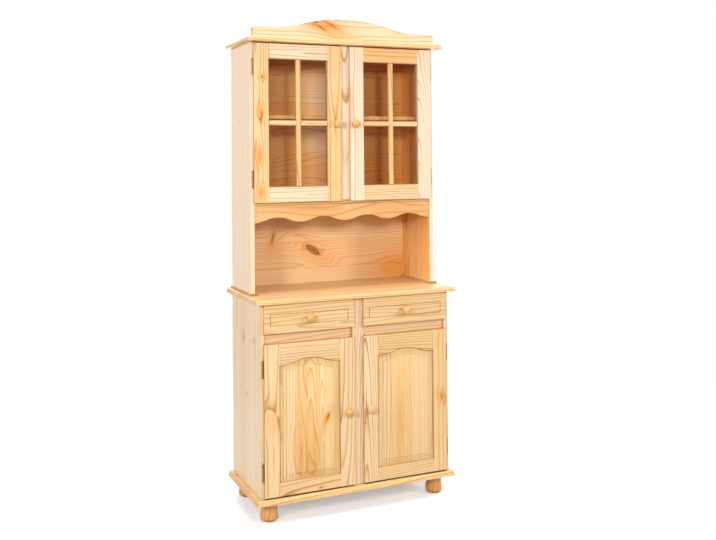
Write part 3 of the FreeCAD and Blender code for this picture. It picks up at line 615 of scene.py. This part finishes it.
def glass(name):
    """Clean window glass: almost clear straight on, a mirror at a glancing view"""
    shader = new_shader(name)
    facing = shader.node("ShaderNodeLayerWeight", None, {"Blend": 0.5}, output=1)
    return shader.finish(shader.surface({
        "Base Color": (0.93, 0.97, 0.96, 1), "Metallic": 1.0, "Roughness": 0.03,
        "Alpha": facing ** 4 * 0.6 + 0.002}))


def brass(name):
    """Antiqued brass, brown in patches"""
    shader = new_shader(name)
    place = shader.node("ShaderNodeTexCoord", output=3)
    patches = shader.noise(place, 160, 4, 0.6)
    brown = shader.clamped(patches, 0.38, 0.72)
    colour = shader.mixed(brown, (0.36, 0.22, 0.07), (0.12, 0.06, 0.02))
    return shader.finish(shader.surface({
        "Base Color": colour, "Metallic": 0.85, "Roughness": 0.32 + brown * 0.25}))


def moulded_plastic(name):
    """Cream plastic of the door catches"""
    shader = new_shader(name)
    place = shader.node("ShaderNodeTexCoord", output=3)
    grain = shader.noise(place, 900, 2, 0.5)
    bump = shader.node("ShaderNodeBump", None,
                       {"Strength": 0.1, "Distance": 0.0002, "Height": grain})
    colour = shader.mixed(grain, (0.72, 0.67, 0.55), (0.80, 0.76, 0.66))
    return shader.finish(shader.surface({
        "Base Color": colour, "Roughness": 0.42 + grain * 0.1, "Normal": bump}))


# Boards: merged copies of the frame's solids with sanded edges and a grain direction

def separate_boards(mesh):
    """The separate boards of a mesh, as lists of vertices, from the lowest and leftmost"""
    left = set(mesh.verts)
    boards = []
    while left:
        board = [left.pop()]
        for vertex in board:
            for edge in vertex.link_edges:
                other = edge.other_vert(vertex)
                if other in left:
                    left.remove(other)
                    board.append(other)
        boards.append(board)
    return sorted(boards, key=lambda board: min(v.co.x * 0.7 + v.co.z for v in board))


def grain_order(low, high):
    """Which axis runs across, through and along a board: its longest side is along the grain"""
    depth, across, along = sorted(range(3), key=lambda axis: high[axis] - low[axis])
    return across, depth, along


def board_luck(node, number):
    """A steady number from 0 to 1 for each board, from the name of its node"""
    total = 7 + number
    for letter in node:
        total = (total * 31 + ord(letter)) % 10007
    return (total * 0.618034) % 1.0


def new_object(name, data):
    """An object with this data in the scene"""
    made = bpy.data.objects.new(name, data)
    bpy.context.scene.collection.objects.link(made)
    return made


def eased_board(node, material, easing):
    """A merged copy of a CAD node with eased edges and grain, which stands for that node"""
    mesh = bmesh.new()
    mesh.from_mesh(frame["nodes"][node].data)
    bmesh.ops.remove_doubles(mesh, verts=mesh.verts, dist=MERGE_DISTANCE)
    bmesh.ops.dissolve_limit(mesh, angle_limit=FLAT_ANGLE, verts=mesh.verts, edges=mesh.edges)
    data = bpy.data.meshes.new("rough")
    mesh.to_mesh(data)
    mesh.free()
    data.shade_smooth()
    data.set_sharp_from_angle(angle=SMOOTH_ANGLE)
    rough = new_object("rough", data)
    bevel = rough.modifiers.new("easing", "BEVEL")
    bevel.width = easing
    bevel.segments = 2
    bevel.limit_method = "ANGLE"
    bevel.angle_limit = EASED_ANGLE
    bevel.harden_normals = True
    finished = plain_mesh(rough, "wood_" + node)
    write_grain(finished.data, node)
    finished.data.materials.clear()
    finished.data.materials.append(material)
    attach(finished, frame["nodes"][node]["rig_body"])
    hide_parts(node)


def plain_mesh(source, name):
    """The evaluated shape of an object as a plain mesh, and the source object removed"""
    bpy.context.view_layer.update()
    graph = bpy.context.evaluated_depsgraph_get()
    data = bpy.data.meshes.new_from_object(source.evaluated_get(graph))
    data.name = name
    old = source.data
    bpy.data.objects.remove(source)
    bpy.data.meshes.remove(old)
    return new_object(name, data)


def in_crease(face, low, high, depth):
    """True for a narrow face that lies behind a board's surface: a groove or a step"""
    longest = max(edge.calc_length() for edge in face.edges)
    centre = face.calc_center_median()[depth]
    return (face.calc_area() < longest * CREASE_WIDTH
            and low[depth] + CREASE_START < centre < high[depth] - CREASE_START)


def write_grain(data, node):
    """Stores each board's own directions and luck, and where its ends, edges and grooves are"""
    mesh = bmesh.new()
    mesh.from_mesh(data)
    grain = [0.0] * (3 * len(mesh.verts))
    luck = [0.0] * len(mesh.verts)
    end = [0.0] * len(mesh.faces)
    edge = [0.0] * len(mesh.faces)
    crease = [0.0] * len(mesh.faces)
    for number, board in enumerate(separate_boards(mesh)):
        low = [min(v.co[axis] for v in board) for axis in range(3)]
        high = [max(v.co[axis] for v in board) for axis in range(3)]
        order = grain_order(low, high)
        for vertex in board:
            grain[3 * vertex.index:3 * vertex.index + 3] = [
                vertex.co[axis] - (low[axis] + high[axis]) / 2 for axis in order]
            luck[vertex.index] = board_luck(node, number)
            for face in vertex.link_faces:
                end[face.index] = min(1.0, abs(face.normal[order[2]]) * END_TURN)
                edge[face.index] = min(1.0, abs(face.normal[order[0]]) * EDGE_TURN)
                crease[face.index] = float(in_crease(face, low, high, order[1]))
    mesh.free()
    data.attributes.new("grain", "FLOAT_VECTOR", "POINT").data.foreach_set("vector", grain)
    data.attributes.new("board", "FLOAT", "POINT").data.foreach_set("value", luck)
    for name, values in (("end", end), ("edge", edge), ("crease", crease)):
        data.attributes.new(name, "FLOAT", "FACE").data.foreach_set("value", values)


# Screw and pin heads: one head, copied by geometry nodes to every place

def head_tree(name, slotted):
    """Geometry nodes that put a domed head on every point, turned to its aim attribute"""
    tree = bpy.data.node_groups.new(name, "GeometryNodeTree")
    tree.interface.new_socket("Geometry", in_out="INPUT", socket_type="NodeSocketGeometry")
    for label in ("Head Radius", "Head Height", "Slot Width"):
        tree.interface.new_socket(label, in_out="INPUT", socket_type="NodeSocketFloat")
    tree.interface.new_socket("Seed", in_out="INPUT", socket_type="NodeSocketInt")
    tree.interface.new_socket("Material", in_out="INPUT", socket_type="NodeSocketMaterial")
    tree.interface.new_socket("Geometry", in_out="OUTPUT", socket_type="NodeSocketGeometry")
    graph = Graph(tree)
    given = graph.node("NodeGroupInput").socket.node.outputs
    radius = Wire(graph, given["Head Radius"])
    height = Wire(graph, given["Head Height"])
    slot = Wire(graph, given["Slot Width"])
    size = graph.node("ShaderNodeCombineXYZ", None, {0: radius, 1: radius, 2: height})
    ball = graph.node("GeometryNodeMeshUVSphere", None,
                      {"Segments": 24, "Rings": 12, "Radius": 1})
    head = graph.node("GeometryNodeTransform", None, {"Geometry": ball, "Scale": size})
    if slotted:
        length = graph.node("ShaderNodeMath", {"operation": "MULTIPLY"}, {0: radius, 1: 1.3})
        lift = graph.node("ShaderNodeCombineXYZ", None, {2: height})
        bars = []
        for order in ((length, slot), (slot, length)):
            extent = graph.node("ShaderNodeCombineXYZ", None, {0: order[0], 1: order[1], 2: height})
            bar = graph.node("GeometryNodeMeshCube", None, {"Size": extent})
            bars.append(graph.node("GeometryNodeTransform", None,
                                   {"Geometry": bar, "Translation": lift}))
        for bar in bars:
            head = graph.node("GeometryNodeMeshBoolean", {"operation": "DIFFERENCE"},
                              {"Mesh 1": head, "Mesh 2": bar})
    aim = graph.node("GeometryNodeInputNamedAttribute", {"data_type": "FLOAT_VECTOR"},
                     {"Name": "aim"})
    turn = graph.node("FunctionNodeAlignRotationToVector", {"axis": "Z"}, {"Vector": aim})
    angle = graph.node("FunctionNodeRandomValue", {"data_type": "FLOAT"},
                       {2: 0.0, 3: math.pi, "Seed": Wire(graph, given["Seed"])}, output=1)
    spin = graph.node("FunctionNodeAxisAngleToRotation", None, {"Axis": (0, 0, 1), "Angle": angle})
    turn = graph.node("FunctionNodeRotateRotation", {"rotation_space": "LOCAL"},
                      {"Rotation": turn, "Rotate By": spin})
    points = graph.node("GeometryNodeMeshToPoints", None, {"Mesh": Wire(graph, given["Geometry"])})
    copies = graph.node("GeometryNodeInstanceOnPoints", None,
                        {"Points": points, "Instance": head, "Rotation": turn})
    real = graph.node("GeometryNodeRealizeInstances", None, {"Geometry": copies})
    finished = graph.node("GeometryNodeSetMaterial", None,
                          {"Geometry": real, "Material": Wire(graph, given["Material"])})
    graph.node("NodeGroupOutput", None, {"Geometry": finished})
    return tree


def heads(tree, name, body, spots, radius, height, slot):
    """Heads at places with an aim, as one plain mesh that rides on a body"""
    data = bpy.data.meshes.new("places")
    data.from_pydata([place for place, _ in spots], [], [])
    aims = data.attributes.new("aim", "FLOAT_VECTOR", "POINT")
    aims.data.foreach_set("vector", [part for _, aim in spots for part in aim])
    source = new_object("places", data)
    modifier = source.modifiers.new("heads", "NODES")
    modifier.node_group = tree
    material = bpy.data.materials["finished_hinge_brass"]
    values = {"Head Radius": radius, "Head Height": height, "Slot Width": slot, "Seed": 3,
              "Material": material}
    for item in tree.interface.items_tree:
        if item.in_out == "INPUT" and item.name in values:
            modifier[item.identifier] = values[item.name]
    finished = plain_mesh(source, name)
    if not finished.data.polygons:
        raise RuntimeError(name + " has no faces")
    finished.data.shade_smooth()
    finished.data.set_sharp_from_angle(angle=SMOOTH_ANGLE)
    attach(finished, body)


# Operators: one for each group of like pieces

def both(kind, *parts):
    """The names of these parts of the left and the right one of a kind"""
    return tuple(f"{kind}_{side}_{part}" for side in ("left", "right") for part in parts)


DOORS = ("lower_door_left", "lower_door_right", "upper_door_left", "upper_door_right")
FEET = ("foot_front_left", "foot_front_right", "foot_back_left", "foot_back_right")
KNOBS = both("drawer", "knob") + both("lower_door", "knob") + both("upper_door", "knob")

CUTS = {
    "pine_board": Cut(amber=0.15, edges=0.5, ends=0.7, grooves=0.5),
    # Muntins lie against the glass, which would give their backs the painted gap shade
    "pine_muntin": Cut(amber=0.15, edges=0.5, ends=0.7, grooves=0.5, gaps=0),
    "pine_pale": Cut(pale=0.85, figure=0.75, edges=0.5, ends=0.7),
    "pine_cream": Cut(pale=0.5, edges=0.5, ends=0.7),
    "pine_creamy": Cut(pale=0.15, figure=1.2, edges=0.5, ends=0.7),
    # Drawer rails: a lighter tone, partly painted light against the shadow of the proud drawer
    # fronts
    "pine_light": Cut(tone=-0.3, figure=0.6, amber=0.3, edges=0.7),
    "pine_deep": Cut(amber=0.5, figure=0.45, edges=0.2),
    "pine_mould": Cut(staves=66, amber=0.1, ends=0.25, grooves=0),
    "pine_staves": Cut(staves=50, tone=0.2, figure=1.2, ends=0.3, grooves=0.3),
    "pine_straight": Cut(staves=88, tone=0.2, figure=1.2, ends=0.3, grooves=0.3, pith=110),
    # Side panels: the hutch sides take twice the pallor of the base side, partly painted light for
    # the brighter light high up
    "pine_side": Cut(staves=62, wild=0.15, amber=0.35, pallor=0.35, dusk=0.45, ends=0.3),
    "pine_tall": Cut(staves=62, wild=0.1, amber=0.55, pallor=0.7, dusk=0.3, ends=0.3),
    "pine_niche": Cut(staves=112, tone=-0.4, figure=0.6, amber=0.3, dusk=0.6, pith=30),
    "pine_inside": Cut(wild=0.3, amber=0.3, dusk=0.3, edges=0.3),
    "pine_back": Cut(staves=90, wild=0.3, amber=0.3),
    "pine_foot": Cut(tone=0.4, amber=0.5, ends=0.3, grooves=0),
    "pine_knob": Cut(tone=0.2, amber=0.3, figure=0.8, ends=0.2, grooves=0),
}
BOARDS = {
    "pine_board": ("hutch_foot_strips", *both("lower_door", "top_rail"), *both("drawer", "front"),
                   "lower_door_right_bottom_rail", "upper_door_right_rails"),
    "pine_muntin": both("upper_door", "muntins"),
    # The right upper door's stiles take the palest cut: partly painted light for the brighter upper
    # right of the hutch
    "pine_pale": ("hutch_stile", "upper_door_right_stiles"),
    "pine_cream": ("base_stile", "upper_door_left_rails"),
    "pine_light": ("drawer_rails",),
    "pine_mould": ("counter_top", "top_board", "base_board"),
    "pine_side": ("base_side_right",),
    "pine_tall": ("hutch_side_left", "hutch_side_right"),
    "pine_back": ("base_back",),
    "pine_inside": ("base_shelf", "hutch_shelf", "hutch_bottom", "shelf_cleats", "carcass_pegs",
                    "drawer_runners", "drawer_divider", *both("drawer", "box", "bottom")),
    "pine_foot": FEET,
    "pine_knob": KNOBS,
}

# Boards with knots of the photograph, and on the hutch's back two pools of painted light: kind of
# board, axes across and along the grain, knots
KNOTTY = {
    "crest_board": ("pine_cream", (2, 0), (
        Knot(1903, -92, 30, 90, 22, 0, 0.7, 0.5), Knot(1917, -136, 8, 30, 8, 1.0, 0.4),
        Knot(1895, -110, 8, 44, 30, 0.8, 0.4, 0.5), Knot(1904, -60, 7, 40, 30, 0.6, 0.4, 0.5),
        Knot(1903, 222, 9, 24, 25))),
    "hutch_back": ("pine_niche", (2, 0), (
        Knot(981, -46, 28, 80, 34, 1.0, 0.4, 1.2), Knot(1038, -226, 40, 12, 12, 0.8, 0.5),
        Knot(885, 368, 40, 90, 0, 0, 0.8), Knot(1320, 30, 70, 150, 30, 0, 0.3, 0.8),
        # The two spots with no heart and a glow below 0 are no knots: painted light, pale pools
        # where light falls through the left door's panes
        Knot(1620, -20, 170, 60, 0, 0, -0.5, 0), Knot(1420, -20, 170, 60, 0, 0, -0.4, 0))),
    "apron": ("pine_deep", (2, 0), (
        Knot(1180, -150, 60, 260, 30, 0, 0.2, 0.7), Knot(1160, 230, 60, 260, 30, 0, 0.2, 0.7))),
    "lower_door_left_bottom_rail": ("pine_board", (2, 0), (Knot(112, -163, 5, 10),)),
    "upper_door_left_stiles": ("pine_board", (0, 2), (
        Knot(-353, 1691, 9, 12, 0, 0.6), Knot(-361, 1553, 10, 26, 0, 0, 0.8),
        Knot(-366, 1383, 10, 30, 0, 0, 0.9), Knot(-361, 1240, 10, 26, 0, 0, 0.8))),
    "lower_door_left_stiles": ("pine_creamy", (0, 2), (
        Knot(-345, 370, 26, 60, 25, 0, 0.25, 1.8),)),
    "lower_door_left_panel": ("pine_staves", (0, 2), (
        Knot(-131, 378, 8, 22, -22), Knot(-142, 358, 7, 20, -10, 0, 0.5, 0.4),
        Knot(-192, 225, 22, 90, 0, 0, 0.55, 1.0), Knot(-250, 262, 16, 70, 0, 0, 0.3, 2.0))),
    "lower_door_right_panel": ("pine_straight", (0, 2), (
        Knot(181, 320, 12, 90, 0, 0, 0.5, 1.4),)),
    "lower_door_right_stiles": ("pine_creamy", (0, 2), (
        Knot(368, 398, 12, 22, 25, 0.25, 0.9, 1.4), Knot(27, 331, 4, 5, 0, 1.0, 0.3))),
    "base_side_left": ("pine_side", (1, 2), (
        Knot(47, 666, 10, 14, 0, 0.7), Knot(-90, 674, 6, 9, 0, 0.7), Knot(10, 452, 7, 11, 0, 0.7))),
}


def wood(context, node):
    """The pine of a node, made when its first board needs it"""
    settings = context.scene.dresser_pine
    if node in KNOTTY:
        kind, axes, knots = KNOTTY[node]
        return pine(settings, "lacquered_" + node, CUTS[kind], knots, axes)
    kind = next(kind for kind, nodes in BOARDS.items() if node in nodes)
    name = "lacquered_" + kind
    return bpy.data.materials.get(name) or pine(settings, name, CUTS[kind])


class BoardGroup:
    """Builds a group of boards or turned pieces from the frame's solids"""

    pieces = ()

    def execute(self, context):
        for node in self.pieces:
            eased_board(node, wood(context, node), context.scene.dresser_pine.easing)
        return {"FINISHED"}


class DRESSER_OT_feet(BoardGroup, bpy.types.Operator):
    """Build the four turned feet"""

    bl_idname = "dresser.feet"
    bl_label = "Feet"
    pieces = FEET


class DRESSER_OT_base_boards(BoardGroup, bpy.types.Operator):
    """Build the boards of the lower cupboard and the pegs that hold both units"""

    bl_idname = "dresser.base_boards"
    bl_label = "Base boards"
    pieces = ("base_board", "base_side_left", "base_side_right", "base_back", "base_stile",
              "base_shelf", "drawer_rails", "drawer_divider", "drawer_runners", "shelf_cleats",
              "counter_top", "carcass_pegs")


class DRESSER_OT_hutch_boards(BoardGroup, bpy.types.Operator):
    """Build the boards of the hutch"""

    bl_idname = "dresser.hutch_boards"
    bl_label = "Hutch boards"
    pieces = ("hutch_foot_strips", "hutch_side_left", "hutch_side_right", "hutch_back",
              "hutch_bottom", "hutch_shelf", "hutch_stile", "apron", "top_board", "crest_board")


class DRESSER_OT_drawers(BoardGroup, bpy.types.Operator):
    """Build the two drawers"""

    bl_idname = "dresser.drawers"
    bl_label = "Drawers"
    pieces = both("drawer", "front", "box", "bottom")


class DRESSER_OT_lower_doors(BoardGroup, bpy.types.Operator):
    """Build the two panelled doors"""

    bl_idname = "dresser.lower_doors"
    bl_label = "Lower doors"
    pieces = both("lower_door", "stiles", "top_rail", "bottom_rail", "panel")


class DRESSER_OT_upper_doors(BoardGroup, bpy.types.Operator):
    """Build the frames and muntins of the two glazed doors"""

    bl_idname = "dresser.upper_doors"
    bl_label = "Upper doors"
    pieces = both("upper_door", "stiles", "rails", "muntins")


class DRESSER_OT_knobs(BoardGroup, bpy.types.Operator):
    """Build the six turned knobs"""

    bl_idname = "dresser.knobs"
    bl_label = "Knobs"
    pieces = KNOBS


class FinishGroup:
    """Gives the frame's own solids of one material slot their finish"""

    slot = ""
    finish = None

    def execute(self, context):
        material = type(self).finish("finished_" + self.slot)
        for node, shape in frame["nodes"].items():
            if record_slot(node) == self.slot:
                shape.data.materials.clear()
                shape.data.materials.append(material)
        return {"FINISHED"}


class DRESSER_OT_glass(FinishGroup, bpy.types.Operator):
    """Finish the panes of the glazed doors"""

    bl_idname = "dresser.glass"
    bl_label = "Glass"
    slot = "glass"
    finish = glass


class DRESSER_OT_hinges(FinishGroup, bpy.types.Operator):
    """Finish the hinges and strike plates"""

    bl_idname = "dresser.hinges"
    bl_label = "Hinges"
    slot = "hinge_brass"
    finish = brass


class DRESSER_OT_catches(FinishGroup, bpy.types.Operator):
    """Finish the door catches"""

    bl_idname = "dresser.catches"
    bl_label = "Catches"
    slot = "catch_plastic"
    finish = moulded_plastic


class DRESSER_OT_screw_heads(bpy.types.Operator):
    """Set cross-slotted screw heads on the hinge leaves"""

    bl_idname = "dresser.screw_heads"
    bl_label = "Screw heads"

    def execute(self, context):
        hardware = context.scene.dresser_hardware
        tree = head_tree("screw_heads", True)
        places = {"carcass": []}
        for door in DOORS:
            places[door] = []
            low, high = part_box(door + "_stiles")
            side = -1 if "left" in door else 1
            outer = max(abs(low[0]), abs(high[0]))
            for hinge in (low[2] + hardware.hinge_end, high[2] - hardware.hinge_end):
                for z in (hinge - hardware.screw_pitch / 2, hinge + hardware.screw_pitch / 2):
                    on_door = (side * (outer - hardware.screw_inset), high[1], z)
                    places[door].append((on_door, (0, 1, 0)))
                    on_side = (side * (outer - DOOR_LAP), high[1] + hardware.leaf_setback, z)
                    places["carcass"].append((on_side, (-side, 0, 0)))
        for body, spots in places.items():
            heads(tree, "screw_heads_" + body, body, spots, hardware.screw_radius,
                  hardware.screw_height, hardware.slot_width)
        return {"FINISHED"}


class DRESSER_OT_back_pins(bpy.types.Operator):
    """Set the pins that hold the back panels along their edges"""

    bl_idname = "dresser.back_pins"
    bl_label = "Back pins"

    def execute(self, context):
        hardware = context.scene.dresser_hardware
        tree = head_tree("pin_heads", False)
        spots = []
        low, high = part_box("hutch_back")
        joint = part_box("hutch_bottom")[0][2]
        panels = [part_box("base_back"), (low, (*high[:2], joint)), ((*low[:2], joint), high)]
        for low, high in panels:
            inset = hardware.pin_inset
            left, right, bottom, top = (low[0] + inset, high[0] - inset,
                                        low[2] + inset, high[2] - inset)
            for start, end in (((left, bottom), (right, bottom)), ((left, top), (right, top)),
                               ((left, bottom), (left, top)), ((right, bottom), (right, top))):
                length = math.dist(start, end)
                count = max(1, round(length / hardware.pin_spacing))
                for step in range(count):
                    share = (step + 0.5) / count
                    x = start[0] + (end[0] - start[0]) * share
                    z = start[1] + (end[1] - start[1]) * share
                    spots.append(((x, high[1], z), (0, 1, 0)))
        heads(tree, "back_pins", "carcass", spots, hardware.pin_radius, hardware.pin_height, 0)
        return {"FINISHED"}


class DRESSER_OT_stage(bpy.types.Operator):
    """Set the camera, lamps, floor and background"""

    bl_idname = "dresser.stage"
    bl_label = "Stage"

    def execute(self, context):
        stage = context.scene.dresser_stage
        set_camera(stage)
        set_floor(stage)
        set_lamps()
        set_world()
        context.scene.view_settings.view_transform = "Standard"
        return {"FINISHED"}


def record_slot(node):
    """The material slot that the record gives a node"""
    for row in frame["record"]["subparts"]:
        if row["node"] == node:
            return row["material_slot"]
    raise ValueError("no subpart named " + node)


def set_camera(stage):
    """The camera at the photograph's angle, with the shift that its framing needs"""
    ahead = Vector((math.sin(stage.yaw) * math.cos(stage.pitch),
                    math.cos(stage.yaw) * math.cos(stage.pitch), math.sin(stage.pitch)))
    right = Vector((math.cos(stage.yaw), -math.sin(stage.yaw), 0))
    up = right.cross(ahead)
    tilted_right = math.cos(stage.roll) * right + math.sin(stage.roll) * up
    tilted_up = -math.sin(stage.roll) * right + math.cos(stage.roll) * up
    data = bpy.data.cameras.new("camera")
    data.sensor_fit = "HORIZONTAL"
    data.lens = data.sensor_width * stage.focal_px / FRAME_WIDTH_PX
    data.shift_y = (stage.horizon_px - FRAME_HEIGHT_PX / 2) / FRAME_WIDTH_PX
    camera = new_object("camera", data)
    turn = Matrix((tilted_right, tilted_up, -ahead)).transposed().to_4x4()
    camera.matrix_world = Matrix.Translation(stage.camera_place) @ turn
    bpy.context.scene.camera = camera


def camera_ray_only(shader, lit, shown):
    """Shows one surface to the camera and in mirrors and glass, and lights with another"""
    path = shader.node("ShaderNodeLightPath")
    outputs = path.socket.node.outputs
    seen = Wire(shader, outputs["Is Camera Ray"])
    seen = shader.maths("MAXIMUM", seen, Wire(shader, outputs["Is Glossy Ray"]))
    seen = shader.maths("MAXIMUM", seen, Wire(shader, outputs["Is Transmission Ray"]))
    return shader.node("ShaderNodeMixShader", None, {0: seen, 1: lit, 2: shown})


def set_floor(stage):
    """A round floor that fades to plain white towards its edge and keeps the shadow"""
    bpy.ops.mesh.primitive_circle_add(vertices=96, radius=stage.floor_radius, fill_type="NGON")
    floor = bpy.context.object
    floor.name = "floor"
    shader = new_shader("floor")
    place = shader.node("ShaderNodeTexCoord", output=3)
    x, y, _ = shader.split(place)
    away = shader.maths("SQRT", x * x + y * y)
    bounce = shader.node("ShaderNodeBsdfDiffuse", None, {"Color": (*[stage.floor_bounce] * 3, 1)})
    lit = shader.node("ShaderNodeBsdfDiffuse", None, {"Color": (*stage.floor_colour, 1)})
    glow = shader.node("ShaderNodeEmission", None,
                       {"Color": (1, 1, 1, 1), "Strength": stage.floor_glow})
    white = shader.node("ShaderNodeEmission", None, {"Color": (1, 1, 1, 1), "Strength": 1.0})
    shown = shader.node("ShaderNodeAddShader", None, {0: lit, 1: glow})
    fade = shader.clamped(away, *(stage.floor_radius * share for share in FLOOR_FADE))
    shown = shader.node("ShaderNodeMixShader", None, {0: fade, 1: shown, 2: white})
    floor.data.materials.append(shader.finish(camera_ray_only(shader, bounce, shown)))


def set_lamps():
    """Square lamps on every side, for a plain and even light"""
    for name, (place, target, width, power) in LAMPS.items():
        data = bpy.data.lights.new(name, "AREA")
        data.shape = "SQUARE"
        data.size = width
        data.energy = power
        lamp = new_object(name, data)
        lamp.location = place
        aim = Vector(target) - Vector(place)
        lamp.rotation_euler = aim.to_track_quat("-Z", "Y").to_euler()


def set_world():
    """White for the camera, and a weak even light on the object"""
    world = bpy.data.worlds.new("plain")
    bpy.context.scene.world = world
    shader = Shader(world)
    ambient = shader.node("ShaderNodeBackground", None,
                          {"Color": (1, 1, 1, 1), "Strength": 0.18})
    white = shader.node("ShaderNodeBackground", None, {"Color": (1, 1, 1, 1), "Strength": 1.0})
    shader.node("ShaderNodeOutputWorld", None,
                {"Surface": camera_ray_only(shader, ambient, white)})


class DRESSER_PT_panel(bpy.types.Panel):
    """Lists the dresser's pieces"""

    bl_label = "Dresser"
    bl_idname = "DRESSER_PT_panel"
    bl_space_type = "VIEW_3D"
    bl_region_type = "UI"
    bl_category = "Dresser"

    def draw(self, context):
        for operator in OPERATORS:
            self.layout.operator(operator.bl_idname)
        for name, group in SETTINGS.items():
            box = self.layout.box()
            for field in group.__annotations__:
                box.prop(getattr(context.scene, name), field)


OPERATORS = (DRESSER_OT_stage, DRESSER_OT_feet, DRESSER_OT_base_boards, DRESSER_OT_hutch_boards,
             DRESSER_OT_drawers, DRESSER_OT_lower_doors, DRESSER_OT_upper_doors,
             DRESSER_OT_knobs, DRESSER_OT_glass, DRESSER_OT_hinges, DRESSER_OT_catches,
             DRESSER_OT_screw_heads, DRESSER_OT_back_pins)
SETTINGS = {"dresser_pine": PineSettings, "dresser_hardware": HardwareSettings,
            "dresser_stage": StageSettings}
CLASSES = (*SETTINGS.values(), *OPERATORS, DRESSER_PT_panel)


def register():
    for item in CLASSES:
        bpy.utils.register_class(item)
    for name, group in SETTINGS.items():
        setattr(bpy.types.Scene, name, bpy.props.PointerProperty(type=group))


def unregister():
    for name in SETTINGS:
        delattr(bpy.types.Scene, name)
    for item in reversed(CLASSES):
        bpy.utils.unregister_class(item)


def main():
    register()
    for operator in OPERATORS:
        _, name = operator.bl_idname.split(".")
        getattr(bpy.ops.dresser, name)()


if __name__ == "__main__":
    main()
